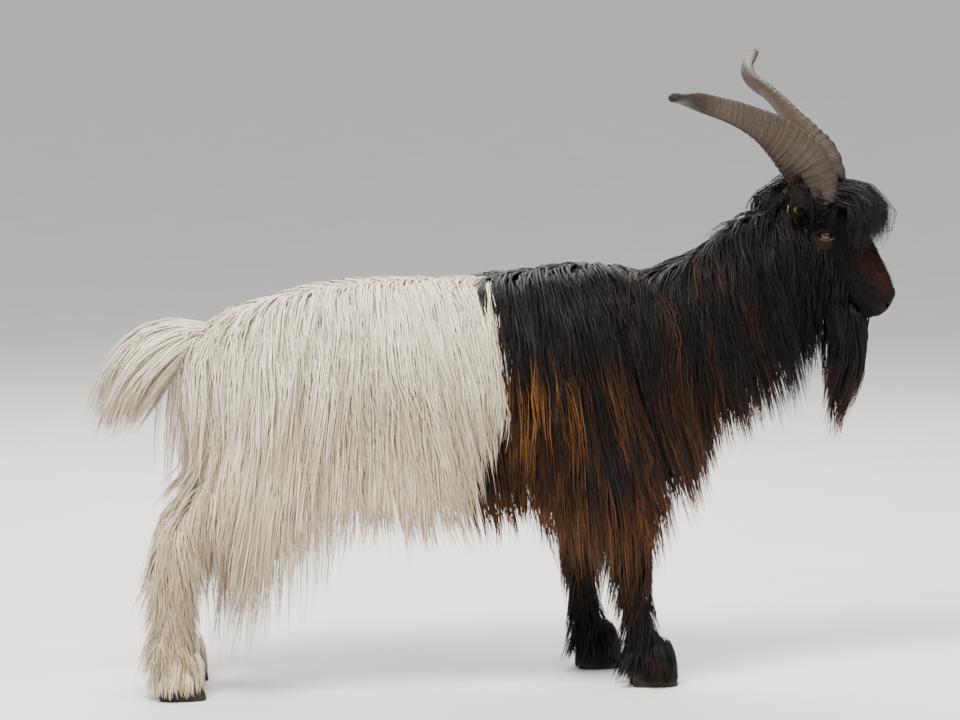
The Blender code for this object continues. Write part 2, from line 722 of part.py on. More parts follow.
def ear_place(sign, t, c):
    """A point in the middle of the ear's thickness, t from root to tip and c from edge to edge, and the way out."""
    root = Vector((-0.212, sign * 0.050, -0.060))
    along = Vector((-0.62, sign * 0.62, 0.48)).normalized()
    face = Vector((0.55, sign * 0.55, 0.0))
    face = (face - along * face.dot(along)).normalized()
    side = along.cross(face)
    half = EAR_WIDTH / 2 * (0.53 + 1.0 * t - 1.42 * t ** 3)
    roll = math.radians(125 - 75 * t)
    radius = half / max(math.sin(min(roll, math.pi / 2)), 0.5)
    turn = roll * c
    at = root + along * (EAR_LENGTH * t) + side * (radius * math.sin(turn)) + face * (radius * (1 - math.cos(turn)))
    return at, (side * math.sin(turn) - face * math.cos(turn)).normalized()


def ear(sign):
    """A cupped leaf standing up and out from the side of the poll."""
    rows, across = 7, 8
    loops = []
    for i in range(rows):
        t = i / (rows - 1)
        thick = 0.0030 - 0.0012 * t
        outer, inner = [], []
        for k in range(across + 1):
            at, out = ear_place(sign, t, 2 * k / across - 1)
            outer.append(at + out * thick)
            inner.append(at - out * thick)
        loops.append(outer + inner[::-1])
    made = skin_rings("ear", loops)
    made.data.transform(HEAD)
    return made


def ear_tag(sign):
    """A plain two-piece tag: a panel behind the ear, a button inside it and the pin between them."""
    at, out = ear_place(sign, 0.42, sign * 0.62)
    side = out.cross(Vector((0, 0, 1))).normalized()
    up = out.cross(side)
    pieces = []
    for name, low, high, wide, tall in (("panel", 0.0045, 0.0070, 0.011, 0.009), ("button", -0.0075, -0.0050, 0.006, 0.006),
                                        ("pin", -0.0060, 0.0060, 0.0025, 0.0025)):
        pieces.append(skin_rings(name, [ring(at + out * d, side, up, wide, tall, tall, 10, 0.8) for d in (low, high)]))
    made = union("ear_tag", pieces)
    made.data.transform(HEAD)
    return made


def ball(name, middle, radius, segments=12, rows=8):
    shape = bmesh.new()
    bmesh.ops.create_uvsphere(shape, u_segments=segments, v_segments=rows, radius=radius)
    bmesh.ops.translate(shape, verts=shape.verts, vec=middle)
    mesh = bpy.data.meshes.new(name)
    shape.to_mesh(mesh)
    shape.free()
    made = bpy.data.objects.new(name, mesh)
    bpy.context.scene.collection.objects.link(made)
    return made


def swollen(thing, name, amount):
    """A copy grown outwards along its vertex normals."""
    made = copy_of(thing, name)
    grown = [v.co + v.normal * amount for v in made.data.vertices]
    for vertex, place in zip(made.data.vertices, grown):
        vertex.co = place
    return made


def hoof_claw(name, foot, out):
    """One of the two claws of a cloven hoof, flat underneath, its toe forward."""
    ankle, wide = foot.z - GAP, HOOF_WIDTH
    toe, heel = HOOF_LENGTH * 0.58, HOOF_LENGTH * 0.42
    rings = []
    for z, front, back, half in ((0.0, toe, heel, wide / 2), (0.012, toe * 0.98, heel, wide / 2),
                                 (0.030, toe * 0.84, heel * 0.95, wide / 2 * 0.94),
                                 (ankle, toe * 0.66, heel * 0.85, wide / 2 * 0.86)):
        middle = Vector((foot.x + (front - back) / 2, foot.y + out * (wide / 2 + 0.0022), z))
        rings.append(ring(middle, Vector((1, 0, 0)), Vector((0, 1, 0)), (front + back) / 2, half, half, 10, 0.8))
    return skin_rings(name, rings)


def remove(things):
    for thing in things:
        bpy.data.objects.remove(thing)


def outside_of(name, low, high):
    """Six walls that leave only what lies inside a room, less the gap."""
    low, high = Vector(low), Vector(high)
    walls = []
    for axis in range(3):
        normal = Vector([1.0 if i == axis else 0.0 for i in range(3)])
        walls.append(half_space(high, normal, GAP))
        walls.append(half_space(low, -normal, GAP))
    return walls


def make_node(name, slot, whole, locks, cutters, rooms=()):
    """The whole body with this node's locks, less all that belongs to its neighbours."""
    node = union(name, [copy_of(whole, name), *locks])
    cut(node, [*cutters, *rooms])
    remove(cutters)
    return finish_node(node, name, slot)


def centre_over_origin():
    """Moves every node so that the middle of the bounding box stands over the origin, its lowest point at z = 0."""
    things = list(bpy.data.objects)
    corners = [v.co for thing in things for v in thing.data.vertices]
    low = [min(c[i] for c in corners) for i in range(3)]
    high = [max(c[i] for c in corners) for i in range(3)]
    shift = Matrix.Translation((-(low[0] + high[0]) / 2, -(low[1] + high[1]) / 2, -low[2]))
    for thing in things:
        thing.data.transform(shift)


def main():
    clear_scene()
    chance = random.Random(3)
    legs, axes = {}, {}
    for name, stations, sign, step in (("fore_leg_right", FORE_LEG, -1, Vector()),
                                       ("fore_leg_left", FORE_LEG, 1, FORE_STEP_LEFT),
                                       ("hind_leg_right", HIND_LEG, -1, Vector()),
                                       ("hind_leg_left", HIND_LEG, 1, HIND_STEP_LEFT)):
        legs[name], axes[name] = leg_core(name, stations, sign, step)
    horns = {"right": horn(-1), "left": horn(1)}
    ears = {"right": ear(-1), "left": ear(1)}
    eyes = {}
    for word, sign in SIDES:
        eyes[word] = ball("eye_" + word, Vector((EYE.x, sign * EYE.y, EYE.z)), EYE_RADIUS)
        eyes[word].data.transform(HEAD)
    tag = ear_tag(-1)
    hole = swollen(tag, "hole", 2 * GAP)
    cut(ears["right"], [hole])
    remove([hole])
    claws = {}
    for name, axis in axes.items():
        for word, out in SIDES:
            place = "_outer" if name.endswith(word) else "_inner"
            claws[name.replace("leg", "claw") + place] = hoof_claw("claw", axis[-1], out)

    whole = union("whole", [torso_core(), neck_core(), head_core(), beard_core(), forelock_core(), tail_core(),
                            lid_ball(-1), lid_ball(1), brow(-1), brow(1), *legs.values()])
    graph = bpy.context.evaluated_depsgraph_get()
    tree = BVHTree.FromObject(whole, graph)

    rooms = {}
    for name, axis in axes.items():
        sign = -1 if name.endswith("right") else 1
        behind, before = LEG_ROOM[name[:4]]
        low, high = sorted((sign * LEG_IN, sign * LEG_OUT))
        rooms[name] = ((axis[-1].x - behind, low, -1), (axis[-1].x + before, high, LEG_TOP))
    tail_room = box("tail_room", *TAIL_ROOM)
    leg_rooms = {name: box(name + "_room", *rooms[name]) for name in rooms}

    for side, sign in SIDES:
        fore = coat_locks(tree, sign, 0.035, 0.40, chance) + belly_locks(tree, sign, 0.03, 0.15, chance)
        make_node("torso_fore_" + side, "black_coat", whole, fore,
                  [half_space((0, 0, 0), (0, -sign, 0)), half_space(COLOUR_PLANE[0], -COLOUR_PLANE[1]),
                   half_space(*NECK_PLANE)], list(leg_rooms.values()))
        rear = coat_locks(tree, sign, -0.52, -0.02, chance) + belly_locks(tree, sign, -0.36, -0.01, chance)
        rear += rump_locks(tree, sign, chance)
        make_node("torso_rear_" + side, "white_coat", whole, rear,
                  [half_space((0, 0, 0), (0, -sign, 0)), half_space(*COLOUR_PLANE)],
                  [*leg_rooms.values(), tail_room])
    make_node("neck", "black_coat", whole, neck_locks(tree, chance) + chest_locks(tree, chance),
              [half_space(NECK_PLANE[0], -NECK_PLANE[1]), half_space(*HEAD_PLANE)], list(leg_rooms.values()))
    around = [swollen(thing, "around", 3 * GAP) for thing in (*horns.values(), *ears.values())]
    around += [swollen(thing, "around", 2 * GAP) for thing in eyes.values()]
    beard_room = box("beard_room", *BEARD_ROOM)
    beard_room.data.transform(HEAD)
    make_node("head", "black_coat", whole, forelock_locks(chance) + cheek_locks(tree, chance),
              [half_space(HEAD_PLANE[0], -HEAD_PLANE[1]), *face_cutters(-1), *face_cutters(1), *around, beard_room])
    walls = outside_of("beard", *BEARD_ROOM)
    for wall in walls:
        wall.data.transform(HEAD)
    make_node("beard", "black_coat", whole, beard_locks(chance), walls)
    make_node("tail", "white_coat", whole, tail_locks(tree, chance), outside_of("tail", *TAIL_ROOM))
    hooves = [swollen(claw, "around", GAP) for claw in claws.values()]
    for name, axis in axes.items():
        sign = -1 if name.endswith("right") else 1
        rows = FORE_FEATHERS if name.startswith("fore") else HIND_FEATHERS
        make_node(name, "black_coat" if name.startswith("fore") else "white_coat", whole,
                  leg_locks(tree, axis, sign, rows, chance), outside_of(name, *rooms[name]), hooves)
    for name, claw in claws.items():
        finish_node(claw, name, "hoof")
    for word, _ in SIDES:
        finish_node(horns[word], "horn_" + word, "horn")
        finish_node(ears[word], "ear_" + word, "black_coat")
        finish_node(eyes[word], "eye_" + word, "eye")
    finish_node(tag, "ear_tag", "tag")
    remove([whole, tail_room, *leg_rooms.values(), *hooves])
    centre_over_origin()


main()
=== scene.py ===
from collections import namedtuple
from itertools import product
import math
import random

import bmesh
import bpy
import numpy as np
from mathutils import Matrix, Vector
from mathutils.bvhtree import BVHTree


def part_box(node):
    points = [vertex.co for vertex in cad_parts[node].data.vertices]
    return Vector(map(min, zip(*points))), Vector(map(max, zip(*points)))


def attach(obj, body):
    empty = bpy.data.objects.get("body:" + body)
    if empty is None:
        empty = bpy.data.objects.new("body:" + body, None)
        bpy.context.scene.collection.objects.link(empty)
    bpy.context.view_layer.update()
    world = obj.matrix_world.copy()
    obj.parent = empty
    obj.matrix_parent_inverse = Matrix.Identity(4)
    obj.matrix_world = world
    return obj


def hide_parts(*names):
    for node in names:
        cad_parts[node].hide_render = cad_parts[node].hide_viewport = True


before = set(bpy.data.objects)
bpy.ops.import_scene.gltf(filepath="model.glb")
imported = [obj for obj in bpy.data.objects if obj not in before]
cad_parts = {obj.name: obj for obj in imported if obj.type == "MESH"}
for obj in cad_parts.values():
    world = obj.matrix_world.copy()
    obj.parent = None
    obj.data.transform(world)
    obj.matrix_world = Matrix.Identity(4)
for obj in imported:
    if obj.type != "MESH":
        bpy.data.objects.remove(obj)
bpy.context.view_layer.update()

# The goat is modelled in its own design frame, its feet at z = 0, and moved to the frame's place at the end.


def mm(*rows):
    """Rows of millimetres, as metres."""
    return np.array(rows) / 1000


def turned(degrees, axis):
    return Matrix.Rotation(math.radians(degrees), 4, axis)


X_AXIS, Y_AXIS, Z_AXIS = Vector((1, 0, 0)), Vector((0, 1, 0)), Vector((0, 0, 1))
SIDES = (("right", -1), ("left", 1))
# Head frame: its origin is the top of the nose, +X runs down the bridge to the lips, +Z is the bridge side
NOSE = Vector((0.8157, -0.065, 0.7658))
YAW = -27
HEAD = Matrix.Translation(NOSE) @ turned(YAW, "Z") @ turned(6, "X") @ turned(55, "Y")
HEAD_AXES = HEAD.to_3x3()
TO_HEAD = HEAD.inverted()
FACING = turned(YAW, "Z") @ X_AXIS

# Torso under the coat: x, height of the middle, half width, half height
TORSO = mm((-555, 620, 30, 45), (-530, 615, 75, 90), (-470, 612, 120, 130), (-380, 604, 146, 166),
           (-280, 599, 158, 188), (-150, 595, 176, 200), (-20, 592, 182, 203), (110, 600, 170, 211),
           (220, 611, 152, 211), (310, 608, 138, 192), (380, 590, 110, 150), (430, 580, 65, 95),
           (450, 580, 25, 40))
# Neck: x, y, z of the middle, half width, half depth
NECK = mm((230, 0, 620, 110, 140), (310, 0, 645, 115, 150), (400, 0, 685, 100, 132), (490, 0, 745, 86, 112),
          (560, -3, 808, 74, 98), (615, -12, 850, 62, 80), (655, -22, 872, 45, 55), (680, -28, 880, 22, 26))
# Head, in the head frame: x, top, bottom, half width
SKULL = mm((27, -40, -58, 10), (21, -24, -68, 21), (9, -8, -77, 29), (-10, 0, -82, 32), (-40, 8, -88, 32),
           (-80, 14, -100, 34), (-120, 19, -116, 44), (-160, 25, -134, 56), (-200, 33, -148, 62),
           (-240, 30, -152, 62), (-272, 12, -142, 54), (-295, -20, -118, 36))
# Legs: x, y of the near side, z, half width, half depth
FORE_LEG = mm((250, 85, 560, 52, 90), (250, 100, 460, 48, 70), (268, 106, 350, 34, 42),
              (284, 108, 240, 28, 30), (290, 108, 170, 23, 24), (300, 108, 100, 29, 31),
              (312, 108, 62, 32, 38), (318, 108, 48, 34, 40))
HIND_LEG = mm((-380, 80, 620, 60, 110), (-395, 98, 520, 54, 100), (-470, 108, 430, 42, 66),
              (-575, 112, 345, 32, 42), (-612, 112, 290, 29, 36), (-618, 112, 180, 27, 30),
              (-622, 112, 100, 31, 36), (-612, 112, 62, 33, 40), (-606, 112, 48, 34, 42))
# Each leg: stations, side, and how far its foot is moved
LEGS = {"fore_leg_right": (FORE_LEG, -1, Vector()),
        "fore_leg_left": (FORE_LEG, 1, Vector((-0.063, 0.012, 0.0))),
        "hind_leg_right": (HIND_LEG, -1, Vector()),
        "hind_leg_left": (HIND_LEG, 1, Vector((0.030, 0.0, 0.0)))}
# Tail: x, z, half width, half depth
TAIL = mm((-490, 680, 36, 28), (-550, 690, 30, 24), (-610, 690, 34, 28), (-655, 672, 36, 34),
          (-690, 635, 34, 34), (-712, 590, 24, 26))
# Lower edge of the coat: x, z
HEM = mm((-620, 370), (-560, 300), (-530, 200), (-500, 65), (-440, 110), (-380, 170), (-320, 240),
         (-260, 280), (-110, 260), (-20, 270), (40, 300), (90, 320), (130, 230), (170, 180), (300, 190),
         (360, 240), (400, 280), (450, 350), (500, 430), (560, 460), (620, 490), (660, 520))
# Lean of the hanging coat, forward is positive: x, run per unit of drop
LEAN = np.array(((-0.62, -0.06), (-0.48, -0.14), (-0.30, 0.02), (-0.10, 0.20), (0.01, 0.08), (0.06, 0.08),
                 (0.18, 0.20), (0.70, 0.24)))
RIDGE = mm((500, 0), (680, -28))      # x and y of the crest, which follows the turned head
# Horn, in the head frame: x, outward and z of the middle, depth, thickness per depth, turn in degrees
HORN = ((-0.225, 0.032, -0.020, 0.098, 0.60, 0), (-0.290, 0.045, 0.006, 0.096, 0.56, 10),
        (-0.337, 0.060, 0.006, 0.089, 0.50, 28), (-0.380, 0.081, 0.001, 0.078, 0.47, 42),
        (-0.420, 0.112, -0.007, 0.066, 0.45, 51), (-0.460, 0.144, -0.022, 0.054, 0.46, 50),
        (-0.493, 0.171, -0.040, 0.042, 0.52, 36), (-0.517, 0.206, -0.050, 0.036, 0.58, 16),
        (-0.534, 0.255, -0.053, 0.030, 0.66, 4), (-0.547, 0.322, -0.050, 0.024, 0.78, 0))
# Curved opening of a nostril, from beside the middle of the nose to its side: x, outward, z, radius
NOSTRIL = mm((21.5, 8.5, -34.5, 1.2), (19, 12, -31, 4.2), (15, 18, -26.5, 4.6), (9, 24.5, -22, 3.6),
             (1, 29, -18.5, 1))
MOUTH, MOUTH_GAP = -0.0600, 0.0007          # height of the mouth line in the head frame, and half its opening
EYE, EYE_RADIUS, LID_RADIUS = Vector((-0.166, 0.0475, -0.040)), 0.0145, 0.0172
LID_WIDE, LID_UP, LID_DOWN = 0.0139, 0.0082, 0.0074     # half length of the opening, height over and under
EAR_ROOT = Vector((-0.212, 0.050, -0.060))
EAR_WAY, EAR_FACE = Vector((-0.62, 0.62, 0.48)), Vector((0.55, 0.55, 0.0))
EAR_LENGTH, EAR_WIDTH = 0.125, 0.050
HOOF_LENGTH, HOOF_WIDTH = 0.088, 0.032
LEG_TOP, LEG_OUT, LEG_IN = 0.40, 0.170, 0.046       # the room of a leg: its top, its sides from the middle
COAT_DEPTH, LEG_COAT_DEPTH = 0.008, 0.003           # the skin lies this far inside the solids' core


# Shapes

def link(name, mesh):
    made = bpy.data.objects.new(name, mesh)
    bpy.context.scene.collection.objects.link(made)
    return made


def mesh_of(name, points, faces):
    mesh = bpy.data.meshes.new(name)
    mesh.from_pydata([tuple(p) for p in points], [], faces)
    shape = bmesh.new()
    shape.from_mesh(mesh)
    bmesh.ops.recalc_face_normals(shape, faces=shape.faces)
    shape.to_mesh(mesh)
    shape.free()
    return link(name, mesh)


def smooth_shaded(thing, sharp=None):
    thing.data.shade_smooth()
    if sharp:
        thing.data.set_sharp_from_angle(angle=math.radians(sharp))
    return thing


def curve_rows(rows, steps):
    """Rows of numbers on a Catmull-Rom curve through the given ones."""
    rows = np.asarray(rows, float)
    made = []
    for i in range(len(rows) - 1):
        a, b, c, d = rows[max(i - 1, 0)], rows[i], rows[i + 1], rows[min(i + 2, len(rows) - 1)]
        for t in np.arange(steps) / steps:
            made.append(0.5 * (2 * b + (c - a) * t + (2 * a - 5 * b + 4 * c - d) * t * t
                               + (3 * b - a - 3 * c + d) * t ** 3))
    made.append(rows[-1])
    return np.array(made)


def eased(value, power):
    """A value between -1 and 1 raised to a power, with its sign kept."""
    return math.copysign(abs(value) ** power, value)


def oval(middle, side, up, wide, above, count, power=1.0, below=None):
    """Points round an oval. A power under 1 makes it squarer."""
    points = []
    for k in range(count):
        turn = 2 * math.pi * (k + 0.5) / count
        c, s = math.cos(turn), math.sin(turn)
        tall = below if s <= 0 and below is not None else above
        points.append(middle + side * (eased(c, power) * wide) + up * (eased(s, power) * tall))
    return points


def loft(name, rings):
    """A closed surface through rings of equal count, with flat ends."""
    count = len(rings[0])
    points = [p for ring in rings for p in ring]
    faces = [tuple(range(count)), tuple(range(len(points) - count, len(points)))]
    for i in range(len(rings) - 1):
        for k in range(count):
            a, b = i * count + k, i * count + (k + 1) % count
            faces.append((a, b, b + count, a + count))
    return mesh_of(name, points, faces)


def heading_at(line, i):
    """The way that a line of points runs at one of them."""
    return (line[min(i + 1, len(line) - 1)] - line[max(i - 1, 0)]).normalized()


def sweep(name, rows, count, side=Y_AXIS):
    """An oval tube. Rows hold x, y, z, half width along side and half depth across it."""
    line = [Vector(r[:3]) for r in rows]
    rings = []
    for i, row in enumerate(rows):
        along = heading_at(line, i)
        across = (side - along * side.dot(along)).normalized()
        rings.append(oval(line[i], across, along.cross(across), row[3], row[4], count))
    return loft(name, rings)


def ball(name, middle, sizes, turn=Matrix(), segments=24, rows=16):
    shape = bmesh.new()
    bmesh.ops.create_uvsphere(shape, u_segments=segments, v_segments=rows, radius=1.0)
    placed = Matrix.Translation(middle) @ turn @ Matrix.Diagonal((*sizes, 1))
    bmesh.ops.transform(shape, verts=shape.verts, matrix=placed)
    mesh = bpy.data.meshes.new(name)
    shape.to_mesh(mesh)
    shape.free()
    return link(name, mesh)


def box(name, low, high):
    points = list(product(*zip(low, high)))
    faces = [(0, 1, 3, 2), (4, 6, 7, 5), (0, 4, 5, 1), (2, 3, 7, 6), (0, 2, 6, 4), (1, 5, 7, 3)]
    return mesh_of(name, points, faces)


def apply_modifiers(thing):
    made = bpy.data.meshes.new_from_object(thing.evaluated_get(bpy.context.evaluated_depsgraph_get()))
    thing.modifiers.clear()
    thing.data = made


def melted(name, pieces, voxel, smooth):
    """All pieces as one closed surface of even faces."""
    shape = bmesh.new()
    for piece in pieces:
        shape.from_mesh(piece.data)
        bpy.data.objects.remove(piece)
    mesh = bpy.data.meshes.new(name)
    shape.to_mesh(mesh)
    shape.free()
    made = link(name, mesh)
    change = made.modifiers.new("remesh", "REMESH")
    change.mode = "VOXEL"
    change.voxel_size = voxel
    soften = made.modifiers.new("soften", "SMOOTH")
    soften.factor = 0.6
    soften.iterations = smooth
    apply_modifiers(made)
    return made


def boolean(thing, other, operation):
    change = thing.modifiers.new("join", "BOOLEAN")
    change.operation = operation
    change.object = other
    change.solver = "MANIFOLD"
    apply_modifiers(thing)
    bpy.data.objects.remove(other)


def leg_axis(stations, sign, step):
    """Stations of one leg, which leans to meet its foot where that is moved by a step."""
    top, foot_top = stations[0][2], 0.25
    rows = []
    for x, y, z, wide, deep in stations:
        share = within((top - z) / (top - foot_top))
        rows.append((x + step.x * share, sign * y + step.y * share, z, wide, deep))
    return np.array(rows)


def torso_shape():
    rings = [oval(Vector((x, 0, z)), Y_AXIS, Z_AXIS, max(wide - COAT_DEPTH, 0.01), tall - COAT_DEPTH, 48, 0.9)
             for x, z, wide, tall in curve_rows(TORSO, 3)]
    return loft("torso", rings)


def neck_shape():
    rows = curve_rows(NECK, 4)
    rows[:, 3:] -= COAT_DEPTH * np.linspace(1.0, 0.3, len(rows))[:, None]
    return sweep("neck", rows, 40)


def leg_shape(stations, sign, step):
    rings = [oval(Vector((x, y, z)), Y_AXIS, X_AXIS, wide - LEG_COAT_DEPTH, deep - LEG_COAT_DEPTH, 28)
             for x, y, z, wide, deep in curve_rows(leg_axis(stations, sign, step), 4)]
    return loft("leg", rings)


def tail_shape():
    rows = [(x, 0, z, wide - 0.012, deep - 0.010) for x, z, wide, deep in TAIL]
    return sweep("tail", curve_rows(rows, 4), 20)


def eye_way(sign):
    """The way an eye looks, in the head frame."""
    return Vector((0.30, sign * 0.92, 0.22)).normalized()


def eye_middle(sign):
    return Vector((EYE.x, sign * EYE.y, EYE.z))


def axes_of(level, way):
    """Axes with Z along a way and X level."""
    flat = level.cross(way).normalized()
    return Matrix((flat, way.cross(flat), way)).transposed().to_4x4()


def eye_frame(sign):
    """Frame of the opening between the lids: along it, level as the head is held, up it, and out."""
    return Matrix.Translation(eye_middle(sign)) @ axes_of(TO_HEAD.to_3x3() @ Z_AXIS, eye_way(sign))


def lid_line(angle, grow):
    """A point of the almond between the lids, grown by a margin: along and up from the middle of the eye."""
    c, s = math.cos(angle), math.sin(angle)
    tall = (LID_UP if s > 0 else LID_DOWN) + grow
    return (LID_WIDE + grow) * c, tall * eased(s, 1.25)


def lid_opening(sign):
    rings = []
    for out, grow in ((0.0035, -0.0002), (0.0130, 0.0), (0.0180, 0.0008), (0.0300, 0.0030)):
        rings.append([Vector((*lid_line(2 * math.pi * k / 48, grow), out)) for k in range(48)])
    made = loft("opening", rings)
    made.data.transform(eye_frame(sign))
    return made


# Rims and folds of the lids: first and last angle on the almond, margin, thickness, depth that it is sunk
LIDS = ((-8, 188, 0.0013, 0.0019, 0.0004), (172, 368, 0.0011, 0.0015, 0.0004),
        (22, 158, 0.0062, 0.0017, 0.0010), (205, 335, 0.0050, 0.0013, 0.0008))


def lid_rim(sign, tree, first, last, grow, thick, sink):
    """A soft ridge that follows the opening over the skin."""
    turn = eye_frame(sign)
    eye = turn.translation
    centres, outs = [], []
    for angle in np.radians(np.linspace(first, last, 36)):
        along, up = lid_line(angle, grow)
        out = math.sqrt(max(LID_RADIUS ** 2 - along ** 2 - up ** 2, 0.00002))
        way = (turn.to_3x3() @ Vector((along, up, out))).normalized()
        hit = tree.ray_cast(eye, way)[0]
        centres.append((hit or eye + way * LID_RADIUS) - way * sink)
        outs.append(way)
    rings = []
    for i, (centre, way) in enumerate(zip(centres, outs)):
        run = heading_at(centres, i)
        side = run.cross(way).normalized()
        radius = thick * (0.30 + 0.70 * math.sin(math.pi * i / (len(centres) - 1)) ** 0.5)
        rings.append([centre + (side * math.cos(a) + side.cross(run) * math.sin(a)) * radius
                      for a in (2 * math.pi * k / 10 for k in range(10))])
    return loft("rim", rings)


# Balls that shape the face and its mirrored side: middle, half sizes, tilt in degrees, in the head frame
FACE_BALLS = ((EYE, (LID_RADIUS,) * 3, 0), (EYE + Vector((-0.006, -0.008, 0.015)), (0.040, 0.020, 0.016), 18),
              (Vector((-0.140, 0.036, -0.066)), (0.040, 0.012, 0.012), 0),
              (Vector((0.002, 0.020, -0.018)), (0.016, 0.010, 0.011), 30),
              (Vector((-0.004, 0.021, MOUTH + 0.009)), (0.028, 0.0095, 0.0105), 0))


def head_shape():
    """Skull, lids, brows, cheek bones, nose and lips, then the openings of eyes, nostrils and mouth."""
    rings = []
    for x, top, bottom, wide in curve_rows(SKULL, 4):
        middle = Vector((x, 0, bottom + (top - bottom) * 0.45))
        rings.append(oval(middle, Y_AXIS, Z_AXIS, wide, top - middle.z, 44, 0.88, middle.z - bottom))
    pieces = [loft("skull", rings)]
    for sign in (-1, 1):
        for middle, sizes, tilt in FACE_BALLS:
            pieces.append(ball("face", mirrored(middle, sign), sizes, turned(tilt, "Y")))
    pieces.append(ball("chin", Vector((0.002, 0, -0.072)), (0.020, 0.020, 0.012)))
    made = melted("head", pieces, 0.0022, 5)
    tree = BVHTree.FromObject(made, bpy.context.evaluated_depsgraph_get())
    low, high = MOUTH - MOUTH_GAP, MOUTH + MOUTH_GAP
    for sign in (-1, 1):
        boolean(made, lid_opening(sign), "DIFFERENCE")
        for values in LIDS:
            boolean(made, lid_rim(sign, tree, *values), "UNION")
        line = curve_rows([(x, sign * y, z, r, r) for x, y, z, r in NOSTRIL], 4)
        boolean(made, sweep("nostril", line, 12, Z_AXIS), "DIFFERENCE")
        inner, outer = sorted((sign * 0.0225, sign * 0.060))
        boolean(made, box("mouth", (-0.058, inner, low), (0.050, outer, high)), "DIFFERENCE")
    boolean(made, box("mouth", (0.018, -0.030, low), (0.050, 0.030, high)), "DIFFERENCE")
    made.data.transform(HEAD)
    return made


def mirrored(v, sign):
    return Vector((v.x, sign * v.y, v.z))


def ear_place(sign, t, c):
    """A point half through the ear, t from root to tip and c from edge to edge, and the way out."""
    along = mirrored(EAR_WAY, sign).normalized()
    face = mirrored(EAR_FACE, sign)
    face = (face - along * face.dot(along)).normalized()
    side = along.cross(face)
    half = EAR_WIDTH / 2 * (0.53 + 1.0 * t - 1.42 * t ** 3)
    roll = math.radians(125 - 75 * t)
    radius = half / max(math.sin(min(roll, math.pi / 2)), 0.5)
    turn = roll * c
    at = mirrored(EAR_ROOT, sign) + along * (EAR_LENGTH * t)
    at += side * (radius * math.sin(turn)) + face * (radius * (1 - math.cos(turn)))
    return at, (side * math.sin(turn) - face * math.cos(turn)).normalized()


def ear_shape(word, sign):
    loops = []
    for t in np.linspace(0, 1, 26):
        thick = 0.0030 - 0.0014 * t
        outer, inner = [], []
        for c in np.linspace(-1, 1, 25):
            at, out = ear_place(sign, t, c)
            edge = 1 - 0.6 * abs(c) ** 6
            outer.append(at + out * thick * edge)
            inner.append(at - out * thick * edge)
        loops.append(outer + inner[::-1])
    made = loft("ear_skin_" + word, loops)
    made.data.transform(HEAD)
    return smooth_shaded(made)


# Tip of a horn: how far on, by its depth there, and size
HORN_TIP = ((0.16, 0.93), (0.30, 0.76), (0.40, 0.50), (0.44, 0.22))


def horn_shape(word, sign):
    """A flattened horn that turns on itself, with a keel in front and rings, strongest at its base."""
    rows = curve_rows([(x, sign * y, *rest) for x, y, *rest in HORN], 14)
    chance = random.Random(5 + sign)
    line = [Vector(r[:3]) for r in rows]
    rings, wave, last, count = [], 0.0, len(rows) - 1, 40
    for i, (_, _, _, depth, flat, degrees) in enumerate(rows):
        share = i / last
        along = heading_at(line, i)
        across = (Y_AXIS - along * along.y).normalized()
        up = along.cross(across)
        c, s = math.cos(sign * math.radians(degrees)), math.sin(sign * math.radians(degrees))
        broad, thin = up * c + across * s, across * c - up * s
        wave += chance.uniform(0.45, 1.25)
        strong = between(share, (0, 0.18, 0.34, 0.46, 0.62, 1), (1.0, 0.75, 0.55, 0.75, 0.15, 0.05))
        deep = depth / 2 * (1 + (0.030 * math.sin(wave * 1.7) + 0.016 * chance.uniform(-1, 1)) * strong)
        ring = []
        for k in range(count):
            angle = 2 * math.pi * k / count
            c, s = math.cos(angle), math.sin(angle)
            keel = 1 + 0.05 * max(0.0, -s) ** 6
            lumps = 1 + 0.012 * math.sin(5 * angle + 9 * share) + 0.008 * math.sin(11 * angle - 14 * share)
            hollow = 1 - 0.22 * max(0.0, -c * sign) ** 2 * math.sin(math.pi * min(1.0, share * 1.15))
            ring.append(line[i] + (thin * (c * deep * flat * hollow) + broad * (s * deep * keel)) * lumps)
        rings.append(ring)
    way = (line[-1] - line[-2]).normalized() * HORN[-1][3]
    rings += [[line[-1] + way * forward + (p - line[-1]) * size for p in rings[last]]
              for forward, size in HORN_TIP]
    made = loft("horn_" + word + "_ringed", rings)
    index = np.arange(len(made.data.vertices))
    inward = np.abs((index % count / count + (0.5 if sign > 0 else 0.0)) % 1 - 0.5) * 2
    add_map(made.data, "along", np.column_stack((np.minimum(1, index // count / last), inward)))
    made.data.transform(HEAD)
    return smooth_shaded(made)


def hoof_shape(name, foot, out):
    """One claw of a cloven hoof, worn flat underneath, with soft rings round its wall."""
    half, toe, heel, ankle = HOOF_WIDTH / 2, HOOF_LENGTH * 0.58, HOOF_LENGTH * 0.42, foot[2]
    table = ((0.0, toe * 0.97, heel * 0.98, half * 0.96), (0.0015, toe, heel, half),
             (0.012, toe * 0.98, heel, half), (0.030, toe * 0.84, heel * 0.95, half * 0.94),
             (ankle, toe * 0.66, heel * 0.85, half * 0.86),
             (ankle + 0.010, toe * 0.50, heel * 0.70, half * 0.70))
    rings = []
    for i, (z, front, back, wide) in enumerate(curve_rows(table, 5)):
        grow = 1 + 0.012 * math.sin(i * 1.9) * (z > 0.004)
        middle = Vector((foot[0] + (front - back) / 2, foot[1] + out * (half + 0.0022), z))
        rings.append(oval(middle, X_AXIS, Y_AXIS, (front + back) / 2 * grow, wide * grow, 32, 0.8))
    return smooth_shaded(loft(name, rings), 50)


# Hair

def between(value, places, values):
    """Straight-line reading of values given at places."""
    return float(np.interp(value, places, values))


def read(table, x):
    return between(x, table[:, 0], table[:, 1])


def within(value):
    return max(0.0, min(1.0, value))


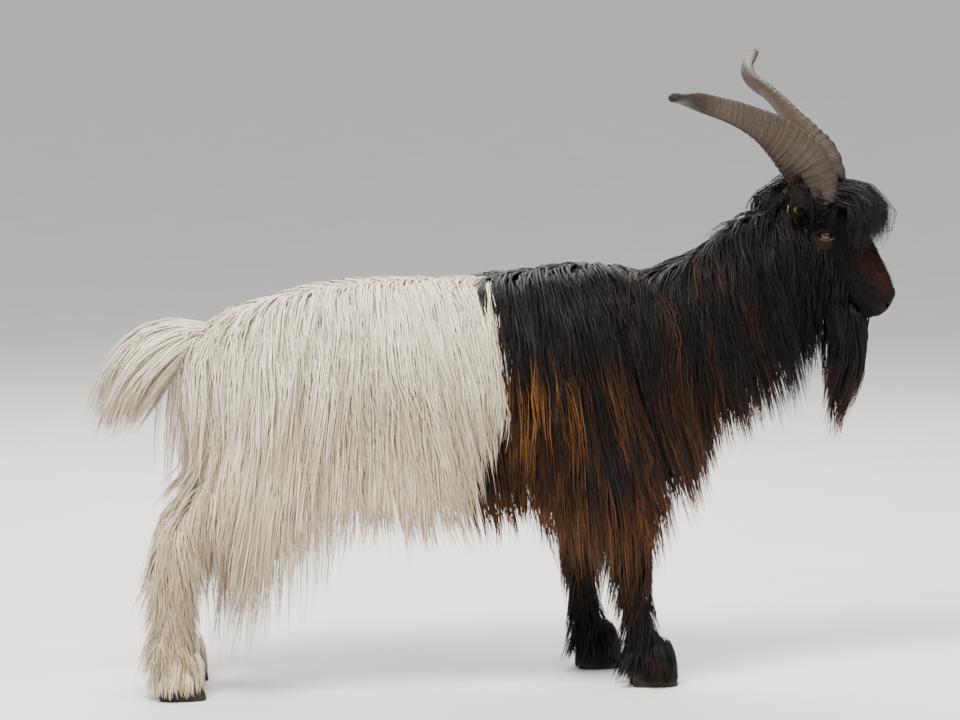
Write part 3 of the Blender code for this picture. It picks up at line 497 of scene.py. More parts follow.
def border(z):
    """Where black meets white at the roots of the coat, by height: lower down black reaches further back."""
    return np.interp(z, (0.42, 0.50, 0.60, 0.68, 0.74), (-0.070, -0.050, -0.018, 0.010, 0.014))


def region_of(p):
    """What grows at a point of the skin."""
    local = TO_HEAD @ p
    if (p - Vector((0.618, 0, 0))).dot(FACING) > 0:
        if local.z < -0.060 - 0.25 * max(0.0, local.x + 0.110) and local.x < -0.012:
            return "cheek"
        return "face" if local.x > -0.195 else "poll"
    if p.x < -0.575 and p.z > 0.47:
        return "tail"
    if p.z < LEG_TOP and LEG_IN < abs(p.y) < LEG_OUT and (p.x > 0.10 or p.x < -0.33):
        if p.z < 0.36 or p.x > 0.10 or p.x < -0.45:
            return "fore_leg" if p.x > 0 else "hind_leg"
    return "neck" if p.x > 0.33 + 0.18 * (0.82 - p.z) else "torso"


# Coat that grows on the skin: hairs to a guide, spread of a clump, width of a hair, steps, gap, lift
Coat = namedtuple("Coat", "hairs spread width steps gap lift")
COAT = {
    "torso": Coat(11, 0.018, 0.0022, 6, 0.0240, (0.008, 0.032)),
    "neck": Coat(10, 0.014, 0.0020, 6, 0.0180, (0.007, 0.028)),
    "tail": Coat(7, 0.009, 0.0021, 6, 0.0110, (0.003, 0.016)),
    "fore_leg": Coat(8, 0.010, 0.0020, 5, 0.0120, (0.003, 0.013)),
    "hind_leg": Coat(8, 0.011, 0.0019, 5, 0.0130, (0.004, 0.017)),
    "cheek": Coat(8, 0.008, 0.0018, 6, 0.0100, (0.003, 0.016)),
    "poll": Coat(8, 0.008, 0.0018, 6, 0.0095, (0.005, 0.018)),
    "face": Coat(5, 0.0060, 0.0008, 2, 0.0050, (0.0005, 0.0014)),
}
# Tufts drawn one by one: the first four as above, then the guides, for each ear, eye or foot, and a seed
Tuft = namedtuple("Tuft", "hairs spread width steps guides seed")
TUFTS = {
    "forelock": Tuft(12, 0.009, 0.0019, 7, 120, 7), "beard": Tuft(13, 0.008, 0.0019, 7, 120, 8),
    "fan": Tuft(13, 0.011, 0.0020, 7, 115, 9), "throat": Tuft(8, 0.007, 0.0018, 7, 85, 10),
    "ear": Tuft(4, 0.0045, 0.0011, 3, 200, 13), "lash": Tuft(1, 0.0003, 0.0007, 4, 30, 14),
    "fore_foot": Tuft(10, 0.012, 0.0020, 5, 66, 11), "hind_foot": Tuft(9, 0.011, 0.0020, 5, 48, 12),
}
# How far the hairs of a clump come together at their ends
CLUMP = {"torso": 0.58, "neck": 0.60, "fan": 0.35, "forelock": 0.35, "face": 0.0, "fore_leg": 0.34,
         "hind_leg": 0.30, "fore_foot": 0.34, "hind_foot": 0.28}
USUAL_CLUMP = 0.55
FINE = ("face", "ear", "lash")      # coat too short for locks
Guide = namedtuple("Guide", "kind pale side points outs root")


def head_hair_length(kind, p, chance):
    local = TO_HEAD @ p
    local.y = abs(local.y)
    if kind == "cheek":
        return (0.060 + 0.145 * within((-0.065 - local.z) / 0.05)) * chance.uniform(0.50, 1.15)
    if kind == "face":
        by_eye = between((local - EYE).length, (0.018, 0.034), (0.45, 1.0))
        return max(0.006, 0.009 - 0.05 * (local.x + 0.06)) * chance.uniform(0.8, 1.2) * by_eye
    by_ear = between((local - Vector((-0.225, 0.060, -0.050))).length, (0.030, 0.080), (0.35, 1.0))
    return between(local.x, (-0.26, -0.20), (0.080, 0.030)) * chance.uniform(0.6, 1.2) * by_ear


def hair_length(kind, p, normal, chance):
    """Length of the hair by place. On the body it reaches the hem, or its own greatest length."""
    if kind in ("face", "poll", "cheek"):
        return head_hair_length(kind, p, chance)
    if kind == "tail":
        return 0.10 * chance.uniform(0.7, 1.1)
    if kind in ("fore_leg", "hind_leg"):
        longest = between(p.z, (0.05, 0.12, 0.20, 0.32), (0.070, 0.085, 0.090, 0.150))
        return min(longest * chance.uniform(0.7, 1.15), max(0.045, p.z * 1.1))
    foot_x = p.x + read(LEAN, p.x) * max(0.0, p.z - read(HEM, p.x))
    to_hem = p.z - read(HEM, foot_x)
    rear = within((-0.25 - p.x) / 0.15)
    longest = 0.36 + 0.16 * rear if kind == "torso" else 0.26
    if kind == "neck":
        longest -= 0.17 * max(0.0, normal.z) * within((p.x - 0.48) / 0.10)
    if to_hem < 0.04:
        return 0.05 * chance.uniform(0.7, 1.2)
    if kind == "torso" and -0.085 < p.x < border(p.z):
        to_hem = min(to_hem, max(0.06, p.z - between(p.x, (-0.085, -0.045, 0.010), (0.34, 0.42, 0.48))))
    longest *= chance.uniform(0.75, 1.15)
    return max(0.05, min(longest, to_hem * chance.uniform(0.84 + 0.08 * rear, 1.05 + 0.13 * rear)))


def head_lie(kind, at, side):
    if kind == "poll":
        return Vector((-0.85, side * 0.35, -0.60))
    if kind == "cheek":
        return Vector((0.02, 0.0, -1.0))
    local = TO_HEAD @ at
    aside = HEAD_AXES @ Vector((0, math.copysign(0.35, local.y), -0.35))
    return HEAD_AXES @ Vector((0.65, 0.0, -0.15)) + aside * (0.3 if local.x < -0.10 else 0.1)


def leg_lie(kind, at, normal, side):
    heights = (0.03, 0.10, 0.20, 0.34)
    if kind == "fore_leg":
        flare = between(at.z, heights, (0.16, 0.24, 0.08, 0.06))
        swept = 0.10 * between(at.z, (0.08, 0.14, 0.30), (0.0, 1.0, 0.6))
        return Vector((normal.x * flare + side * swept, normal.y * flare, -1))
    flare = between(at.z, heights, (0.14, 0.34, 0.20, 0.12))
    flare += 0.22 * max(0.0, -normal.x) * between(at.z, (0.03, 0.08, 0.26, 0.36), (0.0, 1.0, 1.0, 0.0))
    return Vector((normal.x, normal.y, 0)) * flare - Z_AXIS


def lie_of(kind, at, normal, side):
    """The way hair grows at a place: down, leaning by place, off the spine to its own side."""
    if kind in ("face", "poll", "cheek"):
        return head_lie(kind, at, side)
    if kind in ("fore_leg", "hind_leg"):
        return leg_lie(kind, at, normal, side)
    if kind == "tail":
        run = between(at.x, (-0.76, -0.70, -0.64, -0.56), (-0.06, -0.30, -0.80, -2.4))
        return Vector((run, at.y * 1.5, -1.0))
    top = max(0.0, normal.z)
    ridge = math.exp(-((at.y - read(RIDGE, at.x)) / 0.032) ** 2) * top
    if kind == "neck":
        run = 0.21 - 0.6 * top ** 2 - 0.5 * ridge
    else:
        run = read(LEAN, at.x) - (0.45 if at.x < -0.42 else 0.12) * top ** 2 - 0.40 * ridge
    return Vector((run, side * (0.9 - 0.2 * ridge) * top, -1.0))


def kept_clear(kind, at, root, step):
    """Pushes the hanging side coat out of the room that the legs stand in."""
    if kind == "torso" and at.z < LEG_TOP + 0.08 and abs(root.y) > 0.11:
        at.y += math.copysign(min(max(0.0, LEG_OUT + 0.002 - abs(at.y)), 0.45 * step), at.y)


def guide(tree, kind, root, length, chance, steps):
    """Points of one guide hair that lies on the skin and hangs free below it, and the way out at each."""
    lift = chance.uniform(*COAT[kind].lift)
    sizes = [min(1.0, 0.30 + 0.35 * i) for i in range(steps)] if steps > 3 else [1.0] * steps
    step = length / sum(sizes)
    run = 0.0
    long_coat, on_neck = kind in ("torso", "neck"), kind in ("neck", "poll")
    near, normal, _, _ = tree.find_nearest(root)
    at = near.copy()
    from_ridge = root.y - read(RIDGE, root.x)
    side = math.copysign(1, from_ridge)
    if abs(from_ridge) < 0.014 and normal.z > 0:
        side = chance.choice((-1, 1))
    if abs(from_ridge) < 0.032 and normal.z > 0.5 and long_coat:
        near, normal, _, _ = tree.find_nearest(root - Vector((0, side * 0.020, 0)))
        at = near.copy()
    if normal.z > 0.75 and long_coat:
        lift *= 0.65
    elif normal.z > 0.30 and kind == "neck":
        lift *= 0.55
    points, outs = [at - normal * 0.0015], [normal]
    out, wave = normal, 11 * root.x + 8 * root.z + chance.uniform(-0.8, 0.8)
    sway = {"face": 0.05, "poll": 0.22, "cheek": 0.25}.get(kind, 0.20)
    floor = 0.004 + chance.uniform(0, 0.008)
    for i in range(1, steps + 1):
        heading = lie_of(kind, at, normal, side)
        heading += normal.cross(heading) * (sway * (1 - 0.6 * max(0.0, normal.z)) * math.sin(wave + 1.9 * i))
        into = heading.dot(normal)
        if (at - near).length < lift * 1.6 and into < 0:
            heading -= normal * into
        elif normal.z > 0.2:
            heading -= normal * (1.2 if on_neck else 0.6)
        at = at + heading.normalized() * step * sizes[i - 1]
        run += step * sizes[i - 1] / length
        near, normal, _, _ = tree.find_nearest(at)
        away = at - near
        wanted = lift * min(1.0, 0.22 + 1.3 * run)
        if away.dot(normal) < 0 or away.length < wanted:
            at = near + normal * wanted
        elif away.length > 1e-6:
            if on_neck and normal.z > 0.2 and away.length > 0.020:
                at = near + away.normalized() * 0.020
            normal = away.normalized()
        kept_clear(kind, at, root, step)
        at.z = max(at.z, floor)
        out = (out * 0.5 + normal * 0.5).normalized()
        points.append(at.copy())
        outs.append(out.copy())
    for _ in range(2 if kind == "torso" else 0):
        points[1:-1] = [(a + b * 2 + c) / 4 if b.z < LEG_TOP + 0.14 else b
                        for a, b, c in zip(points, points[1:], points[2:])]
    return points, outs


AROUND = tuple(product((-1, 0, 1), repeat=3))


def scatter(mesh, seed):
    """Points spread evenly over a mesh, by the gap of the coat that grows there: kind and place."""
    mesh.calc_loop_triangles()
    triangles = np.empty(len(mesh.loop_triangles) * 3, np.int32)
    mesh.loop_triangles.foreach_get("vertices", triangles)
    corners = vertex_places(mesh)[triangles.reshape(-1, 3)]
    across = np.cross(corners[:, 1] - corners[:, 0], corners[:, 2] - corners[:, 0])
    area = np.linalg.norm(across, axis=1) / 2
    up = across[:, 2] / np.maximum(2 * area, 1e-12)
    chance = np.random.default_rng(seed)
    tries = int(area.sum() / 0.0062 ** 2 * 2.2)
    pick = chance.choice(len(area), tries, p=area / area.sum())
    a, b = chance.random(tries), chance.random(tries)
    flip = a + b > 1
    a[flip], b[flip] = 1 - a[flip], 1 - b[flip]
    tri = corners[pick]
    points = tri[:, 0] + a[:, None] * (tri[:, 1] - tri[:, 0]) + b[:, None] * (tri[:, 2] - tri[:, 0])
    cells, kept = {}, []
    for p, facing in zip(points, up[pick]):
        kind = region_of(Vector(p))
        gap = COAT[kind].gap
        if kind in ("neck", "torso"):
            gap *= 0.70 if facing > 0.80 else 1.6 if facing < -0.6 else 1.0
        x, y, z = (int(c // gap) for c in p)
        near = (q for i, j, k in AROUND for q in cells.get((x + i, y + j, z + k, kind, gap), ()))
        if all((p[0] - q[0]) ** 2 + (p[1] - q[1]) ** 2 + (p[2] - q[2]) ** 2 >= gap * gap for q in near):
            cells.setdefault((x, y, z, kind, gap), []).append(p)
            kept.append((kind, Vector(p)))
    return kept


def ramp(value, start, end):
    return np.clip((value - start) / (end - start), 0, 1)


def mix(first, second, share):
    return np.asarray(first) * (1 - share[..., None]) + np.asarray(second) * share[..., None]


WHITE = {"bright": (0.93, 0.87, 0.74), "plain": (0.74, 0.64, 0.47), "tan": (0.47, 0.34, 0.18),
         "leg": (0.63, 0.51, 0.34), "skin": (0.66, 0.58, 0.45)}
# The root colour is painted shade for the roots of the beard under the chin.
BLACK = {"plain": (0.0042, 0.0037, 0.0042), "soft": (0.0095, 0.0080, 0.0088), "brown": (0.075, 0.030, 0.012),
         "orange": (0.34, 0.135, 0.038), "rust": (0.135, 0.052, 0.018), "root": (0.0030, 0.0024, 0.0020),
         "ear": (0.050, 0.026, 0.013)}
FACE = {"bridge": (0.028, 0.0100, 0.0060), "nose": (0.015, 0.0115, 0.0105), "ring": (0.040, 0.024, 0.014),
        "upper_lid": (0.0085, 0.0065, 0.0055), "lower_lid": (0.050, 0.036, 0.025)}


def white_hair(kind, places, t, one, many):
    """Colour of pale hair: near white above, where painted light from above brightens it, tan towards the
    ends lower down.
    """
    z = places[..., 2]
    if kind == "hind_leg":
        colour = mix(WHITE["leg"], WHITE["bright"], 0.55 * one * ramp(z, 0.02, 0.30))
    else:
        # Painted light: higher up the hair is brighter, as if lit from above, over a random tone of each hair
        # and lock.
        bright = np.clip(0.35 * one + 0.45 * many + 0.50 * ramp(z, 0.40, 0.80) - 0.15, 0, 1)
        colour = mix(WHITE["plain"], WHITE["bright"], bright)
    tan = ramp(t, 0.30, 1.0) * (0.10 + 0.75 * many) * (0.25 + 0.75 * ramp(z, 0.66, 0.25))
    return mix(colour, WHITE["tan"], np.clip(np.maximum(tan, 0.75 * ramp(z, 0.05, 0.0)), 0, 1))


def black_hair(kind, places, t, one, many):
    """Colour of dark hair: black at the root, brown to orange at the ends of shoulder and breast hair, with a
    painted brown sheen on some shoulder hair.
    """
    x, z = places[..., 0], places[..., 2]
    colour = mix(BLACK["plain"], BLACK["soft"], one)
    if kind in ("face", "lash"):
        return colour
    # Painted shade under the chin: the beard darkens towards its roots.
    if kind == "beard":
        colour = mix(colour, BLACK["root"], 0.8 * ramp(t, 0.30, 0.05))
    if kind == "ear":
        return mix(colour, BLACK["ear"], 0.8 * ramp(t, 0.3, 1.0) * ramp(many, 0.55, 0.85))
    lower = ramp(z, 0.62, 0.48) * ramp(z, 0.10, 0.24)
    brown = ramp(t, 0.42, 0.92) * np.clip(0.10 + 0.9 * many, 0, 1) * (0.06 + 0.94 * lower)
    # Painted sheen: brown streaks of painted highlight on some hairs high on the shoulder and neck.
    shoulder = ramp(x, 0.62, 0.50) * ramp(x, 0.22, 0.34) * ramp(z, 0.86, 0.78)
    shoulder_sheen = ramp(t, 0.20, 0.70) * ramp(many, 0.78, 0.95) * shoulder * (0.20 + 0.5 * one)
    colour = mix(colour, BLACK["brown"], np.clip(np.maximum(brown, shoulder_sheen), 0, 1))
    blaze = ramp(x, 0.28, 0.13) * ramp(z, 0.425, 0.475) * ramp(z, 0.635, 0.575)
    orange = np.maximum(blaze, 0.30 * lower * ramp(many, 0.7, 0.9))
    orange = ramp(t, 0.55, 0.92) * ramp(many, 0.38, 0.80) * orange
    colour = mix(colour, BLACK["orange"], np.clip(orange, 0, 1))
    rust = ramp(t, 0.40, 0.95) * ramp(z, 0.40, 0.32) * ramp(z, 0.15, 0.21) * (0.35 + 0.65 * many)
    return mix(colour, BLACK["rust"], np.clip(rust * (0.35 if kind == "fore_leg" else 1.0), 0, 1))


def face_marks(colour, places):
    """The reddish bridge of the nose, its bare tip, the tan ring round each eye and the rims of the lids."""
    local = (places - np.array(NOSE)) @ np.array(TO_HEAD.to_3x3()).T
    x, y, z = np.moveaxis(local, -1, 0)
    bridge = ramp(x, -0.110, -0.060) * ramp(x, 0.012, -0.012) * ramp(z, -0.030, -0.004)
    colour = mix(colour, FACE["bridge"], 0.75 * bridge)
    colour = mix(colour, FACE["nose"], 0.8 * ramp(x, 0.006, 0.014) * ramp(z, -0.050, -0.042))
    for sign in (-1, 1):
        far = np.sqrt((x - EYE.x - 0.005) ** 2 + (y - sign * EYE.y) ** 2 + (z - EYE.z + 0.010) ** 2)
        colour = mix(colour, FACE["ring"], 0.60 * ramp(far, 0.0265, 0.0190))
        axes = np.array(EYE_AXES[sign])
        along, up, out = np.moveaxis(local @ axes[:3, :3].T + axes[:3, 3], -1, 0)
        rim = np.sqrt((along / (LID_WIDE + 0.0030)) ** 2 + (up / (LID_UP + 0.0030)) ** 2)
        lids = mix(np.full(colour.shape, FACE["upper_lid"]), FACE["lower_lid"], ramp(up, -0.002, -0.005))
        colour = mix(colour, lids, ramp(rim, 1.08, 0.96) * (out > 0))
    return colour


def vertex_places(mesh):
    places = np.empty(len(mesh.vertices) * 3)
    mesh.vertices.foreach_get("co", places)
    return places.reshape(-1, 3)


def skin_colours(mesh):
    places = vertex_places(mesh)
    still = np.full(len(places), 0.35)
    pale = ramp(places[:, 0] - border(places[:, 2]), 0.004, -0.004)
    return face_marks(mix(black_hair("face", places, still * 0, still, still), WHITE["skin"], pale), places)


def set_colours(mesh, colours):
    layer = mesh.color_attributes.new("hair", "FLOAT_COLOR", "POINT")
    rows = np.column_stack((colours, np.ones(len(colours))))
    layer.data.foreach_set("color", rows.astype(np.float32).ravel())


def add_map(mesh, name, places):
    """A UV map with a place for each vertex."""
    index = np.empty(len(mesh.loops), np.int32)
    mesh.loops.foreach_get("vertex_index", index)
    mesh.uv_layers.new(name=name).data.foreach_set("uv", places[index].astype(np.float32).ravel())


def unwrap_place(roots):
    """A root's place on an unwrap of the body: round it by height and side, along it by x, within 0 to 1."""
    u = np.clip((roots[:, 0] + 0.80) / 1.70, 0.01, 0.98)
    turn = np.arctan2(roots[:, 1], roots[:, 2] - 0.58) / (2 * math.pi) + 0.5
    return np.column_stack((u, np.clip(turn, 0.01, 0.98)))


def interpolate(table, at):
    """Rows of a (guides, places, 3) table read at fractional places, one row of places to each guide."""
    at = np.clip(at, 0, table.shape[1] - 1 - 1e-6)
    low = at.astype(int)
    share = (at - low)[..., None]
    rows = np.arange(len(table))[:, None]
    return table[rows, low] * (1 - share) + table[rows, low + 1] * share


def unit(rows):
    return rows / (np.linalg.norm(rows, axis=2, keepdims=True) + 1e-9)


def hair_lines(kind, some, of_guide, reach, t, chance):
    """Middle lines of the hairs round their guides, the ways beside and out, lengths and roots."""
    paths, outs = (np.array([[tuple(p) for p in row] for row in rows])
                   for rows in ([g.points for g in some], [g.outs for g in some]))
    roots, count, spread = np.array([tuple(g.root) for g in some]), len(of_guide), look_of(kind).spread
    at = reach[:, None] * t * (paths.shape[1] - 1)
    line, out = interpolate(paths[of_guide], at), interpolate(outs[of_guide], at)
    along = unit(np.gradient(line, axis=1))
    side = unit(np.cross(along, out))
    out = np.cross(side, along)
    aside = chance.uniform(-1, 1, count)[:, None] * spread
    above = chance.uniform(-0.15, 1, count)[:, None] * spread * 0.35
    close = CLUMP.get(kind, USUAL_CLUMP) * chance.uniform(0.65, 1.25, len(some))[of_guide]
    gather = 1 - np.clip(close * chance.uniform(0.75, 1.15, count), 0, 0.95)[:, None] * t ** 0.9
    long = np.linalg.norm(np.diff(paths, axis=1), axis=2).sum(axis=1)[of_guide][:, None]
    phase = chance.uniform(0, 2 * math.pi, (count, 2)) * 0.25
    phase += (roots @ np.array((17.0, 5.0, 9.0)) + chance.random(len(some)) * 1.2)[of_guide][:, None]
    turns = chance.uniform(5.5, 7.0, count)[:, None]
    swing = np.minimum(0.002 + 0.026 * long, 0.045 * long) * t ** 1.1 * (4.0 if kind == "forelock" else 1.0)
    shift = aside * gather + swing * np.sin(phase[:, :1] + turns * t)
    rise = above * gather * np.minimum(1, 3 * t) + 0.4 * swing * np.cos(phase[:, 1:] + turns * t)
    line = line + side * shift[..., None] + out * np.maximum(rise, -0.002)[..., None]
    if kind == "face":
        line = line + along * (chance.uniform(-1, 1, count) * spread)[:, None, None]
    line[..., 2] = np.maximum(line[..., 2], 0.003)
    return line, side, out, long, roots


def hair_corners(kind, line, side, out, t, chance):
    """Corners of the three-sided hairs, some of them broad flat locks, and the size of each hair."""
    count, fine = len(line), kind in FINE
    lock = (chance.random(count) < 0.42) & (not fine)
    large = chance.uniform(1.5, 2.4, count)
    size = np.where(lock, large, chance.uniform(*((0.6, 1.2) if fine else (0.45, 0.90)), count))
    taper = np.interp(t, (0, 0.15, 0.5, 0.85, 1), (0.7, 1.0, 0.90, 0.45, 0.08))
    broad = look_of(kind).width * size[:, None] * taper
    thick = broad * np.where(lock, 0.17, 0.38)[:, None]
    turn = (chance.uniform(-0.7, 0.7, count) * np.where(lock, 0.5, 1.0))[:, None, None]
    edge = (side * np.cos(turn) + out * np.sin(turn)) * (broad / 2)[..., None]
    top = out * np.cos(turn) - side * np.sin(turn)
    return np.stack((line - edge, line + top * thick[..., None], line + edge), axis=2), size


def hair_surface(name, corners):
    """A mesh of closed hairs from corners in the order of hair, ring and corner."""
    count, rings = corners.shape[:2]
    first = np.arange(count)[:, None] * rings * 3
    k, low = np.arange(3), first[..., None] + (np.arange(rings - 1) * 3)[:, None]
    a, b = low + k, low + (k + 1) % 3
    quads = np.stack((a, b, b + 3, a + 3), axis=-1).reshape(-1, 4)
    caps = np.concatenate((first + [2, 1, 0], first + (rings - 1) * 3 + [0, 1, 2]))
    loops = np.concatenate((quads.ravel(), caps.ravel()))
    starts = np.concatenate((np.arange(len(quads)) * 4, len(quads) * 4 + np.arange(len(caps)) * 3))
    mesh = bpy.data.meshes.new(name)
    mesh.vertices.add(corners.size // 3)
    mesh.vertices.foreach_set("co", corners.astype(np.float32).ravel())
    mesh.loops.add(len(loops))
    mesh.loops.foreach_set("vertex_index", loops.astype(np.int32))
    mesh.polygons.add(len(starts))
    mesh.polygons.foreach_set("loop_start", starts.astype(np.int32))
    mesh.update(calc_edges=True)
    mesh.validate()
    if mesh.polygons[0].normal.dot(Vector(corners[0, 0, 0] - corners[0, 0, 2])) > 0:
        mesh.flip_normals()
    mesh.shade_smooth()
    return mesh


def hair_colours(kind, slot, line, t, one, many):
    tall, one, many = np.broadcast_arrays(t, one[:, None], many[:, None])
    pale = slot == "white_coat"
    colour = (white_hair if pale else black_hair)(kind, line, tall, one, many)
    # Painted shade deep in the coat: each hair darkens towards its root, to 0.78 of its colour if pale and
    # 0.6 if black.
    deep = 0.78 if pale else 0.6
    colour = colour * (deep + (1 - deep) * np.minimum(1, 3 * tall) ** 0.7)[..., None]
    return face_marks(colour, line) if kind in ("face", "cheek", "forelock") else colour


def hair_mesh(name, slot, kind, some, seed):
    """Closed three-sided tapered hairs gathered round each guide."""
    chance = np.random.default_rng(seed)
    look = look_of(kind)
    of_guide = np.repeat(np.arange(len(some)), look.hairs)
    count = len(of_guide)
    many, one = chance.random(len(some))[of_guide], chance.random(count)
    reach = chance.uniform(0.72, 1.0, count)
    reach[::look.hairs] = 1.0
    t = np.linspace(0, 1, look.steps + 1)
    line, side, out, long, roots = hair_lines(kind, some, of_guide, reach, t, chance)
    corners, size = hair_corners(kind, line, side, out, t, chance)
    mesh = hair_surface(name, corners)
    colour = hair_colours(kind, slot, line, t, one, many)
    set_colours(mesh, np.repeat(colour.reshape(-1, 3), 3, axis=0))
    k = np.arange(3)
    tuft = np.stack(np.broadcast_arrays(k * 0.0014, (t * 0.003)[:, None]), axis=-1)
    tuft = unwrap_place(roots[of_guide])[:, None, None, :] + tuft
    add_map(mesh, "OFBake", tuft.reshape(-1, 2))
    down = (chance.random(count) * 40)[:, None] + t * long * reach[:, None]
    strand = np.stack(np.broadcast_arrays(k * 0.5 * size[:, None, None], down[:, :, None]), axis=-1)
    add_map(mesh, "strand", strand.reshape(-1, 2))
    return link(name, mesh)


# Guides

def look_of(kind):
    return TUFTS[kind] if kind in TUFTS else COAT[kind]


def sharply_bent(points):
    steps = [(b - a).normalized() for a, b in zip(points, points[1:])]
    return any(a.dot(b) < 0.25 for a, b in zip(steps[1:], steps[2:]))


EYE_AXES = {sign: eye_frame(sign).inverted() for _, sign in SIDES}


def near_eye(p):
    """Whether a point is over the opening between the lids or its rim."""
    local = TO_HEAD @ p
    seen = EYE_AXES[1 if local.y > 0 else -1] @ local
    return seen.z > 0 and (seen.x / (LID_WIDE + 0.0034)) ** 2 + (seen.y / (LID_UP + 0.0034)) ** 2 < 1


def near_mouth(p):
    local = TO_HEAD @ p
    return local.x > -0.004 or (local.x > -0.06 and abs(local.z - MOUTH) < 0.004)


def body_guides(tree, mesh):
    """Guides for every kind of coat that grows on the skin."""
    chance = random.Random(21)
    made = []
    for kind, root in scatter(mesh, 3):
        normal = tree.find_nearest(root)[1]
        if kind == "face" and (near_eye(root) or near_mouth(root)):
            continue
        length = hair_length(kind, root, normal, chance)
        points, outs = guide(tree, kind, root, length, chance, COAT[kind].steps)
        if kind in ("face", "poll", "cheek") and any(near_eye(p) for p in points):
            continue
        if kind in ("torso", "fore_leg", "hind_leg") and root.z < 0.62 and sharply_bent(points):
            continue
        pale = kind in ("tail", "hind_leg")
        if kind == "torso":
            pale = root.x < border(root.z) + chance.uniform(-0.004, 0.004)
        made.append(Guide(kind, pale, -1 if root.y < 0 else 1, points, outs, root))
    return made


def through(kind, rows):
    """Evenly spread points along a smooth line through the rows."""
    line = curve_rows(rows, 6)
    run = np.concatenate(([0], np.cumsum(np.linalg.norm(np.diff(line, axis=0), axis=1))))
    at = np.linspace(0, run[-1], TUFTS[kind].steps + 1)
    return [Vector([between(a, run, line[:, i]) for i in range(3)]) for a in at]


def forelock_guide(chance):
    """A curl that rises between the horns and falls over the forehead."""
    c, high = chance.uniform(-1, 1), chance.uniform(0.35, 1.08)
    y, back, short = 0.046 * c, chance.uniform(-0.028, 0.020), chance.uniform(0.0, 0.45)
    arch = high * (1 - 0.30 * c * c)
    rows = [(-0.226 + back, y * 0.8, 0.010), (-0.205 + back, y, 0.012 + 0.026 * arch),
            (-0.176 + back * 0.8, y * 1.15, 0.018 + 0.046 * arch),
            (-0.142 + back * 0.6 - 0.02 * short, y * 1.25, 0.018 + 0.057 * arch),
            (-0.112 - 0.04 * short, y * 1.3, 0.012 + 0.046 * arch),
            (-0.094 - 0.06 * short, y * 1.3, 0.004 + 0.026 * arch)]
    wild = (0.002, 0.007, 0.011, 0.013, 0.016, 0.020)
    rows = [(x + chance.uniform(-w, w), b + chance.uniform(-w, w), z + chance.uniform(-w, w) * 0.7)
            for (x, b, z), w in zip(rows, wild)]
    points = through("forelock", [HEAD @ Vector(row) for row in rows])
    middle = HEAD @ Vector((-0.175, 0, 0.0))
    return points, [(p - middle).normalized() for p in points]


BEARD_TIP = 0.466       # height of the beard's tip


def beard_guide(chance):
    """A long strand from the chin and jaw that gathers to the beard's tip."""
    c, f = chance.uniform(-1, 1), chance.random()
    root = HEAD @ Vector((-0.105 + 0.112 * f, 0.026 * c, between(f, (0, 1), (-0.112, -0.078))))
    drop = chance.uniform(0.50, 1.06) if f > 0.35 else chance.uniform(0.40, 0.95)
    stray_x, stray_y = chance.gauss(0, 0.006), chance.gauss(0, 0.005)
    heights, rows = (BEARD_TIP, 0.54, 0.60, 0.70), []
    for share in (0.0, 0.2, 0.45, 0.7, 1.0):
        z = root.z + (BEARD_TIP - root.z) * share * drop
        axis_x = between(z, heights, (0.712, 0.722, 0.729, 0.738))
        half = between(z, heights, (0.006, 0.023, 0.034, 0.040))
        axis_y = between(z, (BEARD_TIP, 0.70), (0.018, -0.022))
        pull = min(1.0, 2.2 * share)
        x = root.x * (1 - pull) + (axis_x + half * (2 * f - 1)) * pull
        y = root.y * (1 - pull) + (axis_y + half * 0.85 * c * (1 - 0.5 * (2 * f - 1) ** 2)) * pull
        x += (stray_x + chance.uniform(-0.004, 0.004)) * share
        y += (stray_y + chance.uniform(-0.004, 0.004)) * share
        rows.append((x, y, z))
    points = through("beard", rows)
    return points, [Vector((2 * f - 1, 1.6 * c, 0.15)).normalized() for _ in points]


# Edges of the tail's fan: x and z along its upper, middle and lower strands, then its half width there
FAN = mm(((-515, 706), (-590, 720), (-650, 712), (-705, 678), (-742, 625), (-760, 562)),
         ((-530, 700), (-585, 690), (-640, 650), (-690, 600), (-722, 550), (-738, 500)),
         ((-535, 692), (-562, 660), (-592, 615), (-622, 572), (-650, 530), (-680, 492)))
FAN_HALF = (0.016, 0.030, 0.040, 0.042, 0.036, 0.024)


def fan_guide(chance):
    """A strand of the tail, which spreads like a fan from its short root."""
    turn, ring = chance.uniform(0, 2 * math.pi), math.sqrt(chance.uniform(0.15, 1.0))
    f, c = 0.5 - 0.5 * math.cos(turn) * ring, math.sin(turn) * ring
    shares = (1 - 2 * f, 2 * f, 0) if f < 0.5 else (0, 2 - 2 * f, 2 * f - 1)
    reach = chance.uniform(0.84, 1.07)
    start = FAN[1, 0]
    rows = []
    for half, places in zip(FAN_HALF, FAN.transpose(1, 0, 2)):
        x, z = start + (sum(place * share for place, share in zip(places, shares)) - start) * reach
        rows.append((x, c * half, z))
    points = through("fan", rows)
    outs = []
    for i in range(len(points)):
        up = Y_AXIS.cross(heading_at(points, i))
        outs.append((Y_AXIS * c + up * math.copysign(1, up.z) * (0.5 - f) * 2 + Z_AXIS * 0.05).normalized())
    return points, outs


def throat_guide(chance):
    """A thin strand that hangs from under the jaw, between the neck and the beard."""
    f, c = chance.random(), chance.uniform(-1, 1)
    root = HEAD @ Vector((-0.165 + 0.085 * f, 0.046 * c, -0.118 - 0.010 * (1 - c * c)))
    drop = chance.uniform(0.09, 0.235) * (1 if chance.random() < 0.6 else 0.6)
    end = Vector((chance.uniform(-0.06, 0.06), 0.075 * c, -1)) * drop
    points = through("throat", [root + end * share for share in (0.0, 0.3, 0.65, 1.0)])
    return points, [Vector((0.2, math.copysign(1, c), 0.1)).normalized() for _ in points]


